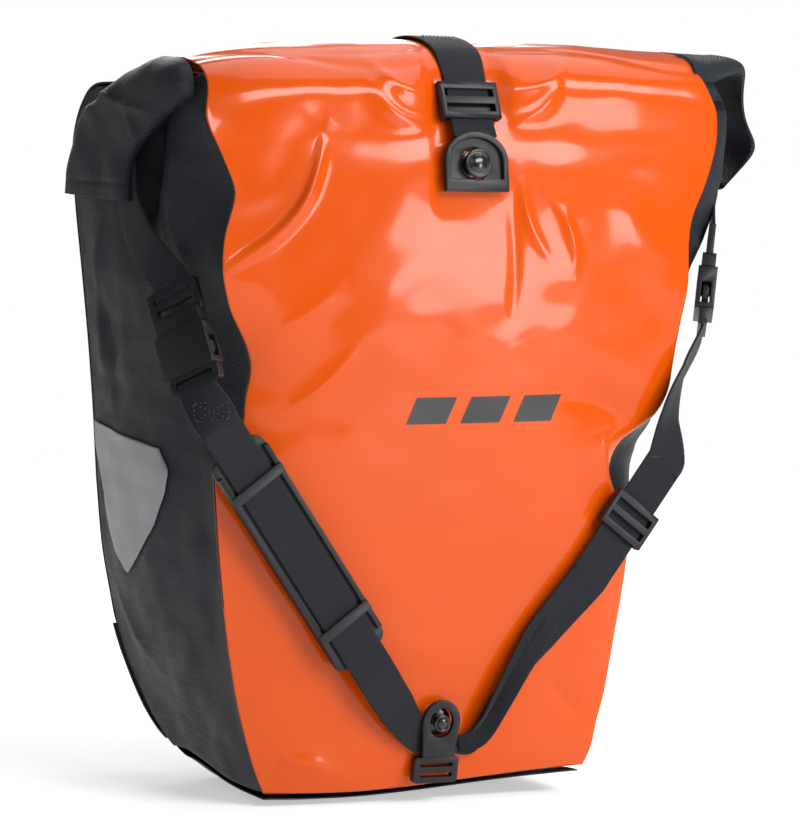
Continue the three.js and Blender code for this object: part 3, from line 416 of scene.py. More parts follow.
def webbing_cloth():
    finish = Finish("webbing", (0.010, 0.011, 0.015), 0.62)
    finish.set(Sheen_Weight=0.1, Sheen_Roughness=0.4, Specular_IOR_Level=0.15)
    cloth, solid = finish.place("UV"), finish.place("Object")
    finish.vary_color(0.4, finish.noise(solid, 700, 2))
    ribs = finish.waves(cloth, 1, 1.3 * MM)
    threads = finish.waves(cloth, 0, 1.8 * MM)
    broad = finish.math("MULTIPLY", ribs, 0.6)
    crossed = finish.math("MULTIPLY", ribs, threads)
    finish.bump(finish.math("ADD", broad, crossed), 0.09 * MM)
    return finish.material


def moulded_plastic(name="black_plastic", color=(0.010, 0.010, 0.012), rough=(0.32, 0.46)):
    finish = Finish(name, color, rough[0])
    finish.set(Specular_IOR_Level=0.28)
    solid = finish.place("Object")
    finish.vary_color(0.2, finish.noise(solid, 60, 3))
    finish.vary_roughness(*rough, finish.noise(solid, 140, 3))
    finish.bump(finish.noise(solid, 1500, 2), 0.03 * MM)
    return finish.material


def polished_stud():
    finish = Finish("polished_stud", (0.006, 0.006, 0.007), 0.2)
    finish.set(Coat_Weight=0.2, Coat_Roughness=0.08)
    solid = finish.place("Object")
    finish.vary_roughness(0.16, 0.26, finish.noise(solid, 300, 2))
    return finish.material


def soft_rubber():
    finish = Finish("soft_insert", (0.035, 0.036, 0.04), 0.7)
    solid = finish.place("Object")
    finish.vary_color(0.2, finish.noise(solid, 90, 3))
    finish.bump(finish.noise(solid, 900, 3), 0.06 * MM)
    return finish.material


def reflective_film():
    """Silver film with a fine honeycomb of glass beads."""
    finish = Finish("reflective_film", (0.22, 0.224, 0.236), 0.42, 0.1)
    finish.set(Specular_IOR_Level=0.6)
    cloth, solid = finish.place("UV"), finish.place("Object")
    cells = finish.node("ShaderNodeTexVoronoi", Vector=cloth, Scale=500)
    cells.feature = "DISTANCE_TO_EDGE"
    finish.bump(cells.outputs["Distance"], 0.1 * MM)
    finish.vary_color(0.12, finish.noise(solid, 60, 4))
    return finish.material


def zinc_steel():
    finish = Finish("steel", (0.55, 0.56, 0.58), 0.3, 1.0)
    solid = finish.place("Object")
    finish.vary_color(0.15, finish.noise(solid, 120, 3))
    finish.vary_roughness(0.22, 0.42, finish.noise(solid, 400, 3))
    finish.bump(finish.noise(solid, 2500, 2), 0.02 * MM)
    return finish.material


def thread_material():
    finish = Finish("thread", (0.03, 0.031, 0.036), 0.6)
    solid = finish.place("Object")
    finish.vary_color(0.3, finish.noise(solid, 900, 2))
    return finish.material


def print_ink():
    finish = Finish("print_ink", (0.012, 0.011, 0.011), 0.35)
    solid = finish.place("Object")
    finish.vary_roughness(0.3, 0.42, finish.noise(solid, 200, 2))
    return finish.material


ORANGE = orange_tarpaulin()
BLACK = black_tarpaulin()
WEBBING = webbing_cloth()
PLASTIC = moulded_plastic()
STUD = polished_stud()
RUBBER = soft_rubber()
FILM = reflective_film()
BOARD = moulded_plastic("inner_board", (0.024, 0.024, 0.026), (0.5, 0.62))
STEEL = zinc_steel()
THREAD = thread_material()
INK = print_ink()


# ---- the bag's outer surfaces --------------------------------------------------------------------
FRONT = NodeShape("front_panel")
ROLL_LOW, ROLL_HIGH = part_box("rolled_mouth")
ROLL_Y = (ROLL_LOW.y + ROLL_HIGH.y) / 2
ROLL_Z = (ROLL_LOW.z + ROLL_HIGH.z) / 2
ROLL_DEPTH = (ROLL_HIGH.y - ROLL_LOW.y) / 2
ROLL_HEIGHT = (ROLL_HIGH.z - ROLL_LOW.z) / 2
FRONT_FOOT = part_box("front_panel")[0].z + 0.2 * MM
SHOULDER_Z = 376 * MM          # above this the front sheet leaves the CAD panel and runs over the roll
COLUMNS = 240
FACE_ROWS = 300
SHOULDER_ROWS = 26
ROLL_ROWS = 60


def front_half(z):
    """Half the front panel's width at a height."""
    return FRONT.cut(z)[:, 0].max()


# How far each side seam has crept towards the middle at a height, in millimetres: (height, creep).
LEFT_CREEP = [(2, 1), (60, -4), (120, -8), (180, -11), (196, -12), (214, 8), (230, 9), (248, 15), (262, 11),
              (280, 1), (302, -3), (322, 2), (345, 14), (362, 8), (382, 2), (400, 3)]
RIGHT_CREEP = [(16, -5), (40, 2), (90, 6), (145, 9), (172, 20), (190, 31), (206, 27), (219, 6), (236, 0),
               (260, 1), (298, 1), (322, 6), (336, 6), (356, 0), (376, -3), (392, -4), (400, -7)]


def seam_shift(side, z):
    """How far the side seam has moved from its CAD line: (towards the middle, forwards)."""
    heights, creep = np.array(LEFT_CREEP if side < 0 else RIGHT_CREEP, float).T
    z = z / MM
    even = np.linspace(0, 410, 206)
    inward = np.interp(z, even, smoothed(np.interp(even, heights, creep), 12))
    if side < 0:
        forward = 3 * bump_at(z, 300, 24) - 2 * bump_at(z, 240, 20)
    else:
        forward = -6 * bump_at(z, 194, 20)
    return inward * MM, forward * MM


def roll_sag(x):
    """How far the rolled mouth hangs down towards its ends."""
    left = np.clip((-x / MM - 58) / 104, 0, 2) ** 1.5
    right = np.clip((x / MM - 90) / 70, 0, 2) ** 1.5
    return (14 * left + 3 * right) * MM


def foot_lift(x):
    """How far the front's lower edge curls up from the floor, more to the right."""
    return (5 + 9 * ease((x / MM + 60) / 160)) * MM


def foot_rise(points):
    """How far sheets beside the front's lower edge rise with it, near the floor."""
    return np.maximum(foot_lift(points[..., 0]) - 1.5 * MM, 0) * (1 - ease(points[..., 2] / (40 * MM)))


def behind_front(y):
    """0 at the front's foot, growing to 1 at the middle of the bag's depth."""
    return ease((y / MM + 72) / 70)


def tucked(points):
    """The lower side edges curl up from the floor, most of all in front of the heel."""
    x, y, z = np.moveaxis(np.array(points, float), -1, 0)
    curl = ease((np.abs(x) / MM - 75) / 32) * bump_at(y / MM, 28, 58) * (1 - ease(z / (95 * MM)))
    return np.stack([x, y, z + 15 * MM * curl], -1)


def front_grid():
    """The front sheet's outer face: rows go up the front, over the shoulder and round the roll."""
    heights = np.linspace(FRONT_FOOT, SHOULDER_Z, FACE_ROWS)
    us = np.linspace(-1, 1, COLUMNS)
    half = smoothed([front_half(z) for z in heights], 60)
    depth = np.zeros((FACE_ROWS, COLUMNS))
    for i, z in enumerate(heights):
        for j, u in enumerate(us):
            found = FRONT.look((u * half[i] * 0.992, AHEAD, z), (0, 1, 0))
            depth[i, j] = found.y if found else depth[i - 1, j]
    depth = smoothed(smoothed(depth, 50), 40, axis=1)
    face = np.stack([us[None] * half[:, None], depth, np.broadcast_to(heights[:, None], depth.shape)], -1)
    last, before = face[-1], face[-12]
    tangent = last - before
    tangent /= np.linalg.norm(tangent, axis=1, keepdims=True)
    lift = CLOTH + 0.3 * MM
    turn = np.radians(np.linspace(152, -58, ROLL_ROWS))
    roll_half = ROLL_HIGH.x - 2 * MM
    roll = np.zeros((ROLL_ROWS, COLUMNS, 3))
    roll[..., 0] = us[None] * roll_half
    roll[..., 1] = (ROLL_Y + (ROLL_DEPTH + lift) * np.cos(turn))[:, None]
    roll[..., 2] = (ROLL_Z + (ROLL_HEIGHT + lift) * np.sin(turn))[:, None]
    entry = roll[1] - roll[0]
    entry /= np.linalg.norm(entry, axis=1, keepdims=True)
    span = np.linalg.norm(roll[0] - last, axis=1, keepdims=True)
    fullness = 0.9             # how far the cloth bows out between the face and the roll
    leave, arrive = tangent * span * fullness, entry * span * fullness
    shoulder = [hermite(t, last, leave, roll[0], arrive)
                for t in np.linspace(0, 1, SHOULDER_ROWS + 2)[1:-1]]
    grid = np.concatenate([face, np.array(shoulder), roll])
    x, z = grid[..., 0].copy(), grid[..., 2].copy()
    grid[..., 2] -= roll_sag(x) * ease((z / MM - 366) / 40)
    grid[..., 2] += foot_lift(x) * (1 - ease(z / (70 * MM)))
    grid[..., 0] -= 4 * MM * ease((z / MM - 398) / 22) * us[None] ** 7
    return grid


def front_relief(x, z):
    """Folds and dents of the front, as a height over its surface; z is measured along the sheet."""
    return ripples(x, z, 3, 95, 0.55) + ripples(x, z, 5, 42, 0.16) + creased(x, z, [
        ((-92, 380), (-150, 306), 12, 5.5, 2.6, 1.0),
        ((-98, 388), (-156, 336), 7, 14, -1.8, 0.1),
        ((-80, 300), (-128, 268), 4, 9, 1.2, 0.4),
        ((-70, 262), (-112, 226), 3, 8, 1.4, 0.5),
        ((-70, 380), (20, 250), 14, 28, 1.2, 0.1),
        ((-24, 384), (-62, 408), 8, 7, 1.8, 0.6),
        ((-22, 398), (-58, 420), 6, 6, 1.5, 0.6),
        ((24, 380), (62, 404), -8, 8, 2.0, 0.6),
        ((22, 396), (70, 414), -6, 6, 1.5, 0.5),
        ((30, 352), (50, 300), -6, 5, 1.0, 0.7),
        ((46, 340), (66, 292), 5, 4, 0.8, 0.6),
        ((58, 336), (72, 300), -3, 3, 0.6, 0.5),
        ((24, 344), (26, 262), 2, 4, -0.7, 0.2),
        ((90, 340), (140, 300), -8, 16, 1.8, 0.3),
        ((60, 220), (128, 196), 6, 14, -3.2, 0.3),
        ((100, 204), (132, 150), -6, 9, 2.2, 0.4),
        ((-110, 130), (-60, 40), 8, 16, 1.0, 0.2),
        ((-96, 22), (-60, 12), 2, 8, 1.8, 0.5),
        ((70, 60), (106, 34), -4, 9, -2.0, 0.3),
    ])


def shoulder_relief(x, climb):
    """The cloth puffs out on both sides of the closure strap, which holds it down, and the roll's
    layers show as lines along its crest."""
    puff = bump_at(climb, 402 * MM, 17 * MM) * (1 - bump_at(x, 0, 26 * MM)) * (1 - np.abs(x / x.max()) ** 6)
    layer_lines = sum(
        -1.1 * MM * bump_at(climb, (level + 9 * np.sin(x / (wander * MM))) * MM, 3.2 * MM)
        for level, wander in ((422, 31), (436, 44), (452, 37)))
    return 5.5 * MM * puff + layer_lines * (1 - bump_at(x, 0, 20 * MM))


def kept_flat(x, climb):
    """1 where nothing may stand out, behind the strap, the slider and both catches, fading to 0."""
    top = ease((30 * MM - np.abs(x)) / (12 * MM)) * ease((climb - 318 * MM) / (24 * MM))
    foot = ease((44 * MM - np.abs(x)) / (14 * MM)) * ease((84 * MM - climb) / (20 * MM))
    return np.maximum(top, foot)


def creep_seams(points):
    """Moves both side edges of the front sheet to where the seams have crept."""
    shares = np.linspace(-1, 1, COLUMNS)
    on_face = np.where(np.arange(len(points)) < FACE_ROWS + SHOULDER_ROWS // 2, 1.0, 0.0)
    fade = smoothed(on_face, 60)
    for side in (-1, 1):
        weight = np.clip(side * shares, 0, 1) ** 5
        inward, forward = seam_shift(side, points[:, 0 if side < 0 else -1, 2])
        points[..., 0] -= side * (inward * fade)[:, None] * weight[None]
        points[..., 1] -= (forward * fade)[:, None] * weight[None]


def front_sheet():
    """The orange sheet, with its folds, from the floor to the back of the roll."""
    points = front_grid()
    normals = grid_normals(points)
    if normals[10, COLUMNS // 2, 1] > 0:
        normals = -normals
    x = points[..., 0]
    rise = np.cumsum(np.linalg.norm(np.diff(points, axis=0), axis=2), 0)
    climb = np.concatenate([np.zeros((1, COLUMNS)), rise]) + FRONT_FOOT
    relief = front_relief(x, climb) + shoulder_relief(x, climb)
    over_the_roll = climb > climb[FACE_ROWS + SHOULDER_ROWS, 0]
    relief = np.where(over_the_roll, np.maximum(relief, -0.5 * MM), relief)
    relief *= ease((1 - np.abs(x) / x.max()) / 0.03 + 0.15) * ease(climb / (14 * MM))
    guard = kept_flat(x, climb)
    relief = relief * (1 - guard) + np.minimum(relief, -0.2 * MM) * guard
    # The strap presses a hollow into the cloth where the catch turns.
    relief -= 4 * MM * bump_at(climb, 388 * MM, 13 * MM) * bump_at(x, 0, 20 * MM)
    points = points + normals * relief[..., None]
    creep_seams(points)
    piece = sheet("front_sheet", points, ORANGE)
    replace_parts(piece, "front_panel")
    return points


FRONT_POINTS = front_sheet()


def on_front(x, z, lift):
    """The place on the front sheet at x and z in millimetres, lifted off along its normal."""
    start = Vector((x * MM, AHEAD, z * MM))
    place, normal, _, _ = FRONT_SKIN.ray_cast(start, Vector((0, 1, 0)))
    if normal.y > 0:
        normal = -normal
    return place + normal * lift


def gusset(side, node):
    """One side of the bag: from the front sheet's edge to the back panel's edge."""
    shape = NodeShape(node)
    edge = FRONT_POINTS[:, 0 if side < 0 else -1]
    edge = edge[:FACE_ROWS + SHOULDER_ROWS]
    rows = np.linspace(0, len(edge) - 1, 250).astype(int)
    columns = 130
    low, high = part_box(node)
    points = np.zeros((len(rows), columns, 3))
    for i, row in enumerate(rows):
        start = edge[row]
        z = min(max(start[2], low.z + 0.3 * MM), high.z - 0.3 * MM)
        cut = shape.cut(z)
        front, back = cut[:, 1].min(), cut[:, 1].max()
        for j, share in enumerate(np.linspace(0, 1, columns)):
            y = front + (back - front) * share
            inside = min(max(y, front + 0.2 * MM), back - 0.2 * MM)
            found = shape.look((side * ASIDE, inside, z), (-side, 0, 0))
            x = found.x if found else points[i - 1, j, 0]
            points[i, j] = x, y, z
    points[..., 0] = smoothed(smoothed(points[..., 0], 30), 12, axis=1)
    hold = np.exp(-np.linspace(0, 1, columns) / 0.10)[None, :, None]
    points += (edge[rows][:, None] - points[:, :1]) * hold
    y, z = points[..., 1], points[..., 2]
    share = np.linspace(0, 1, columns)[None]
    relief = ripples(y, z, 11 if side < 0 else 17, 60, 0.9) + ripples(y, z, 13, 26, 0.3)
    folds = [
        ((-60, 372), (-66, 300), 8, 9, 3.0, 0.3),
        ((-30, 392), (-12, 316), 4, 15, -15, 0.1),
        ((-72, 352), (-64, 300), 3, 12, 4.0, 0.2),
        ((-20, 330), (-62, 262), -6, 10, -4.0, 0.4),
        ((30, 330), (44, 230), 8, 12, 2.6, 0.5),
        ((58, 300), (20, 200), -8, 12, -2.4, 0.4),
        ((-10, 260), (40, 210), 6, 9, 2.0, 0.5),
        ((-62, 250), (-72, 205), 5, 9, 4.0, 0.4),
        ((-66, 200), (-60, 120), -5, 10, -1.8, 0.3),
        ((60, 120), (10, 60), 6, 10, 1.8, 0.4),
        ((-40, 90), (20, 30), -5, 12, 1.6, 0.4),
    ]
    if side > 0:
        # On the right the side puffs out beyond the seam instead of folding in under the roll's end.
        folds = [((-70, 440), (-76, 292), 0, 14, 21, 0.1)] + folds[2:]
    relief += creased(y, z, folds)
    relief *= ease(share / 0.06) * ease((1 - share) / 0.05) * ease((z - low.z) / (10 * MM))
    points[..., 0] += side * relief
    # The front's lower edge is lifted; the side's runs down from it to the floor.
    points[..., 2] -= foot_rise(points) * behind_front(y)
    points = tucked(points)
    order = points[:, ::-1] if side < 0 else points
    piece = sheet(node + "_sheet", order, BLACK)
    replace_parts(piece, node)
    return points


LEFT_POINTS = gusset(-1, "left_gusset")
RIGHT_POINTS = gusset(1, "right_gusset")


def skin_of(points):
    """A tree over a grid of points, for rays to meet."""
    rows, columns = points.shape[:2]
    faces = [(k, k + 1, k + 1 + columns, k + columns) for row in range(rows - 1)
             for k in range(row * columns, row * columns + columns - 1)]
    return BVHTree.FromPolygons([Vector(p) for p in points.reshape(-1, 3)], faces)


def reflector(side, node, points):
    """A shield of silver film on the side; its outline is given upwards from its point, as (Y, Z)."""
    skin = skin_of(points)
    back = np.array([(33, 121), (47, 132), (60, 150), (68, 174), (71, 200), (70, 205)], float)
    front = np.array([(31, 121), (12, 133), (-12, 152), (-27, 172), (-33, 186), (-26, 198)], float)
    ts = np.linspace(0, 1, 40)
    knots = np.linspace(0, 1, len(back))
    back = smoothed(np.stack([np.interp(ts, knots, back[:, k]) for k in (0, 1)], -1), 10)
    front = smoothed(np.stack([np.interp(ts, knots, front[:, k]) for k in (0, 1)], -1), 3)
    film = np.zeros((len(ts), 30, 3))
    for i in range(len(ts)):
        for j, u in enumerate(np.linspace(0, 1, 30)):
            y, z = (back[i] * (1 - u) + front[i] * u) * MM
            met, normal, _, _ = skin.ray_cast(Vector((side * ASIDE, y, z)), Vector((-side, 0, 0)))
            out = normal if normal.x * side > 0 else -normal
            film[i, j] = met + out * 0.9 * MM
    facing = grid_normals(film)[20, 15, 0] * side > 0
    piece = sheet(node + "_film", film if facing else film[:, ::-1], FILM, FILM_THICKNESS)
    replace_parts(piece, node)


FRONT_SKIN = skin_of(FRONT_POINTS)
reflector(-1, "left_reflector", LEFT_POINTS)
reflector(1, "right_reflector", RIGHT_POINTS)


def rounded_profile(node, middle, start, end, count=160):
    """The outer outline of a wrapped panel, seen in the Y-Z plane from angle start to end round a middle."""
    shape = NodeShape(node)
    outline = []
    for angle in np.linspace(start, end, 4 * count):
        direction = Vector((0, math.cos(angle), math.sin(angle)))
        found = shape.look(Vector((0, *middle)) + direction * 0.6, -direction)
        if found and (found.yz - Vector(middle)).dot(direction.yz) > 0:
            outline.append((found.y, found.z))
    outline = np.array(outline)
    steps = travelled(outline)
    even = np.linspace(0, steps[-1], count)
    outline = np.stack([np.interp(even, steps, outline[:, k]) for k in (0, 1)], -1)
    return shape, smoothed(outline, 6)


def wrapped_panel(node, middle, start, end, relief):
    """A panel that runs round the bag in the Y-Z plane, between two angles in degrees about a middle."""
    shape, outline = rounded_profile(node, middle, math.radians(start), math.radians(end))
    low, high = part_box(node)
    columns = 90
    us = np.linspace(-1, 1, columns)
    points = np.zeros((len(outline), columns, 3))
    for i, (y, z) in enumerate(outline):
        level = min(max(z, low.z + 0.4 * MM), high.z - 0.4 * MM)
        half = shape.cut(level)[:, 0].max()
        points[i] = [(u * half, y, z) for u in us]
    points[..., 0] = smoothed(points[..., 0], 20)
    normals = grid_normals(points)
    if (normals[10, columns // 2].dot([0, *(outline[10] - np.array(middle))])) < 0:
        normals = -normals
    rise = ripples(points[..., 0], points[..., 2] + points[..., 1], 23, 70, relief)
    rise *= ease((1 - np.abs(us)) / 0.05)[None]
    points = points + normals * rise[..., None]
    points[..., 2] += foot_rise(points) * (1 - behind_front(points[..., 1]))
    points = tucked(points)
    facing = grid_normals(points)[10, columns // 2].dot(normals[10, columns // 2]) > 0
    piece = sheet(node + "_sheet", points if facing else points[:, ::-1], BLACK)
    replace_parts(piece, node)


wrapped_panel("back_panel", (0.0, 0.25), -70, 109, relief=0.5)
wrapped_panel("bottom_panel", (0.0, 0.12), -121, -14, relief=0.0)


# ---- the roll's ends -----------------------------------------------------------------------------
def loft(name, sections):
    """A closed skin of black cloth over a list of section rings, each an (n, 3) array."""
    rings = np.array(sections)
    count, around = rings.shape[:2]
    mesh = bpy.data.meshes.new(name)
    mesh.from_pydata(rings.reshape(-1, 3).tolist(), [], tube_faces(count, around))
    girth = np.concatenate([np.zeros((count, 1)), np.cumsum(
        np.linalg.norm(np.diff(rings, axis=1), axis=2), 1)], 1)
    rise = travelled(rings.mean(1))
    layer = mesh.uv_layers.new(name="cloth")
    for loop in mesh.loops:
        i, j = divmod(loop.vertex_index, around)
        layer.data[loop.index].uv = (girth[i, j], rise[i])
    fix_normals(mesh)
    return link(name, mesh, BLACK, "bag")


def roll_end(side, node, stations, slope, folds):
    """The flattened end of the rolled mouth, bent over the side. Each station is
    (x, z, lean in degrees from upright, front y, back y, thickness) in millimetres. Its upper part
    falls towards the back by slope."""
    rows = 90
    around = 96
    keys = np.array(stations, float)
    knots = np.linspace(0, 1, len(keys))
    ts = np.linspace(0, 1, rows)
    values = np.stack([smoothed(np.interp(ts, knots, keys[:, k]), 40) for k in range(6)], -1)
    sections = []
    for row, (x, z, lean, y0, y1, thick) in enumerate(values):
        angle = math.radians(lean)
        out = np.array([side * math.cos(angle), 0, math.sin(angle)])
        ring = []
        for a in np.linspace(0, 2 * math.pi, around, endpoint=False):
            c, s = math.cos(a), math.sin(a)
            along = math.copysign(abs(c) ** 0.55, c)
            depth = math.copysign(abs(s) ** 0.75, s)
            y = (y0 + y1) / 2 + along * (y1 - y0) / 2
            fall = slope * max(y - ROLL_Y / MM, 0) * (1 - ease(row / rows * 1.6))
            middle = np.array([side * x, y, z - fall])
            ring.append((middle + out * depth * thick / 2) * MM)
        sections.append(ring)
    sections = np.array(sections)
    out = np.array([[side * math.cos(math.radians(v[2])), 0, math.sin(math.radians(v[2]))] for v in values])
    y = sections[..., 1]
    down = np.broadcast_to(travelled(sections.mean(1))[:, None], y.shape)
    relief = ripples(y, down, 31 + side, 38, 0.7) + creased(y, down, folds)
    facing = np.einsum("rac,rc->ra", sections - sections.mean(1, keepdims=True), out) > -0.001
    sections += (relief * facing)[..., None] * out[:, None]
    # The hem: the skin turns in at the end and climbs back inside.
    last = sections[-1]
    middle = last.mean(0)
    step = sections[-1] - sections[-6]
    ends = [last + step * 0.12, last + (middle - last) * 0.12 + step * 0.14,
            last + (middle - last) * 0.3 - step * 0.6, last + (middle - last) * 0.4 - step * 1.5]
    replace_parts(loft(node + "_fold", [*sections, *ends]), node)


roll_end(-1, "left_roll_end", [
    (165, 403.5, 86, -81, -5, 28), (169, 403, 66, -81, 8, 25), (171.5, 397, 38, -76, 26, 20),
    (172, 388, 14, -64, 42, 16), (171.5, 376, 4, -42, 52, 13), (171, 360, 0, -16, 58, 12),
    (171, 347, 0, -14, 64, 12), (171, 336, 0, -18, 68, 11),
], 0.25, [
    ((-60, 40), (20, 14), 6, 5, 1.6, 0.6), ((-20, 26), (-30, 100), 4, 6, 1.8, 0.5),
    ((8, 36), (16, 96), -3, 7, -1.6, 0.4), ((-34, 92), (66, 94), 0, 1.6, -0.7, 0.0),
])
roll_end(1, "right_roll_end", [
    (154, 416, 88, -80, -5, 26), (170, 418, 84, -78, 6, 20), (186, 421, 78, -72, 18, 14),
    (200, 421, 50, -62, 28, 10), (204, 408, 8, -53, 33, 8), (208, 390, -14, -50, 36, 8),
    (220, 375, 0, -48, 35, 7), (210, 363, 24, -47, 31, 7), (199, 351, 30, -46, 27, 7),
], 0.12, [((-60, 30), (10, 20), 6, 5, 1.2, 0.6), ((-40, 44), (20, 50), 4, 5, 1.0, 0.5)])


# ---- straps --------------------------------------------------------------------------------------
def strap(name, points, node, body, thickness=WEB, curl=0.0, steps=8):
    """A run of webbing; node is the CAD node it stands for, or None for an extra layer."""
    piece = link(name, webbing_mesh(name, points, thickness, steps, curl), WEBBING, body)
    if node:
        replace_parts(piece, node)


def over_roll(degrees, lift=2.6, width=29):
    """A place on a strap that lies over the roll, at an angle in degrees from the roll's back."""
    angle = math.radians(degrees)
    depth, height = ROLL_DEPTH / MM, ROLL_HEIGHT / MM
    c, s = math.cos(angle), math.sin(angle)
    return ((0, ROLL_Y / MM + (depth + lift) * c, ROLL_Z / MM + (height + lift) * s),
            (0, c * height, s * depth), width)


def middle_of(node):
    low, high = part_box(node)
    return (low + high) / 2


SLIDER = middle_of("closure_slider") / MM
FALL = Vector((0, -10, -22)).normalized()
SLIDER_OUT = (0, -22, 10)


def along_slider(distance):
    return tuple(Vector((0, SLIDER.y, SLIDER.z)) + FALL * distance)


strap("closure_band", [
    ((0, 52, 402.4), (0, 0.2, 1), 27), ((0, 30, 405.4), (0, 0, 1), 28), ((0, 6, 412), (0, 0, 1), 29),
    *[over_roll(a) for a in (40, 65, 90, 115, 140, 160)],
    (along_slider(-13), SLIDER_OUT, 27), (along_slider(0), SLIDER_OUT, 25)],
    "closure_strap", "bag")


def stitch_rows(name, body, places, thread=0.35 * MM, length=1.6 * MM):
    """Short raised stitches. Each place is (middle, direction, outward normal)."""
    work = bmesh.new()
    for middle, direction, normal in places:
        direction, normal = Vector(direction).normalized(), Vector(normal).normalized()
        side = direction.cross(normal).normalized()
        matrix = Matrix((side, direction, normal)).transposed().to_4x4()
        matrix.translation = Vector(middle)
        made = bmesh.ops.create_uvsphere(work, u_segments=6, v_segments=5, radius=1.0)
        for vertex in made["verts"]:
            co = vertex.co
            vertex.co = matrix @ Vector((co.x * thread, co.y * length / 2, co.z * thread * 0.7))
    mesh = bpy.data.meshes.new(name)
    work.to_mesh(mesh)
    work.free()
    mesh.uv_layers.new(name="cloth")
    link(name, mesh, THREAD, body)


def stitched_line(start, end, normal, pitch=2.4 * MM):
    """Places for a row of stitches between two points."""
    start, end = Vector(start), Vector(end)
    run = end - start
    count = max(int(run.length / pitch), 1)
    return [(start + run * ((i + 0.5) / count), run, normal) for i in range(count)]


# ---- moulded hardware ----------------------------------------------------------------------------
BODIES = frame["record"]["behaviour"]["bodies"]
BODY_OF = {node: body for body, nodes in BODIES.items() for node in nodes}


def both(*parts):
    """The names of parts that the bag has on its left and on its right."""
    return [f"{side}_{part}" for side in ("left", "right") for part in parts]


MOULDED = ["closure_catch", "closure_slider", "lower_catch", "lower_anchor", "shoulder_pad", "strap_adjuster",
           "top_rail", "lower_rail", "lower_hook_carriage"]
MOULDED += both("buckle_plug", "buckle_socket", "prong_a", "prong_b", "hook", "latch", "handle_link")
METAL = ["closure_stud_washer", "lower_stud_washer", "top_nut_plate", "lower_nut_plate", "lower_hook_pivot"]
METAL += both("latch_pin") + [f"rail_screw_{k}" for k in (1, 2, 3, 4)]
for node in MOULDED:
    refined(node, PLASTIC, BODY_OF[node])
for node in both("edge_guard"):
    refined(node, PLASTIC, "bag", bend=tucked)
for node in ("closure_stud", "lower_stud"):
    refined(node, STUD, "bag", edge=0.4 * MM)
for node in both("hook_insert") + ["lower_hook"]:
    refined(node, RUBBER, BODY_OF[node])
for node in METAL:
    refined(node, STEEL, BODY_OF[node], edge=0.25 * MM)
refined("back_board", BOARD, "bag")


def hung(place):
    """Where a place in the roll goes when its ends sag and draw in under the outer turn."""
    x = place.x * 0.93
    return Vector((x, place.y, place.z - float(roll_sag(x)) - 1.5 * MM * abs(x / ROLL_HIGH.x)))


refined("mouth_stiffener", BOARD, "bag", bend=hung)
refined("rolled_mouth", ORANGE, "bag", edge=0.2 * MM, segments=1, bend=hung)


# ---- straps of the buckles, the shoulder strap and the handle ------------------------------------
# Each buckle's middle, the way its strap runs down through it, and the way its face looks.
BUCKLES = {
    "left": ((-163.5, -76, 268), (0.102, -0.444, -0.889), (-0.86, -0.5, 0)),
    "right": ((171, -77, 302), (-0.22, -0.25, -0.94), (0.86, -0.5, 0)),
}
STRAP_Y = -98                  # depth of the shoulder strap's straight runs
FACE = (0, -1, 0)              # looking out of the front


def along_buckle(side, distance, lift=0.0):
    """A place on the strap through a buckle, lifted out of its face, with the face's normal."""
    middle, along, face = BUCKLES[side]
    along = Vector(along).normalized()
    out = Vector(face) - along * Vector(face).dot(along)
    place = Vector(middle) + along * distance + out.normalized() * lift
    return tuple(place), face


def straight(start, end, width=25):
    """Points of a straight run on the front between two (x, z) places."""
    return [((start[0] + (end[0] - start[0]) * t, STRAP_Y, start[1] + (end[1] - start[1]) * t), FACE, width)
            for t in (0, 0.04, 0.5, 0.96, 1)]


def under_catch(x, width=10):
    return (x, -84.6, 34), FACE, width


strap("left_tab", [
    ((-168, -4, 356), (-1, 0, 0), 25), ((-169, -9, 340), (-1, -0.02, 0), 25),
    ((-170.5, -22, 324), (-1, -0.1, 0), 25), ((-170.5, -42, 308), (-1, -0.25, 0), 25),
    (*along_buckle("left", -29), 25), (*along_buckle("left", -24, 1.2), 25), (*along_buckle("left", -18), 24),
], "left_side_tab", "bag")
strap("right_tab", [
    ((197, -38, 362), (0.95, -0.4, 0), 24), ((193, -44, 350), (0.95, -0.4, 0), 25),
    ((186, -55, 341), (0.9, -0.45, 0), 25), (*along_buckle("right", -33), 25),
    (*along_buckle("right", -24, 1.2), 25), (*along_buckle("right", -18), 24),
], "right_side_tab", "bag")
strap("left_run", [
    (*along_buckle("left", 27, -0.6), 25), (*along_buckle("left", 36.5), 25),
    ((-154.5, -96, 225), (-0.5, -0.87, 0), 25),
    *straight((-149, 216), (-46, 76)), ((-30, -92.4, 57), FACE, 24), ((-17, -88.4, 43), FACE, 19),
    under_catch(-6, 13), under_catch(10),
], "left_strap", "bag", curl=-0.4)
strap("left_doubled", [
    (*along_buckle("left", 29, 1.4), 24.6), (*along_buckle("left", 36, 1.8), 24.6),
    ((-155.4, -97.8, 225), (-0.5, -0.87, 0), 24.6), ((-151.4, -100.2, 218), (-0.2, -0.98, 0), 24.6),
], None, "bag")
strap("right_run", [
    (*along_buckle("right", 27, -0.6), 25), (*along_buckle("right", 36.5), 25),
    ((149, -91, 246), (0.86, -0.5, 0), 25), ((139, -95.5, 222), (0.6, -0.8, 0), 25),
    *straight((136, 196), (88, 129)), ((60, -94, 96), (0.2, -1, 0), 23),
    ((42, -91.5, 70), (0.55, -0.83, 0), 18), ((30, -88.6, 49), (0.75, -0.66, 0.1), 15),
    under_catch(22, 12), under_catch(11),
], "right_strap", "bag", curl=-0.5)
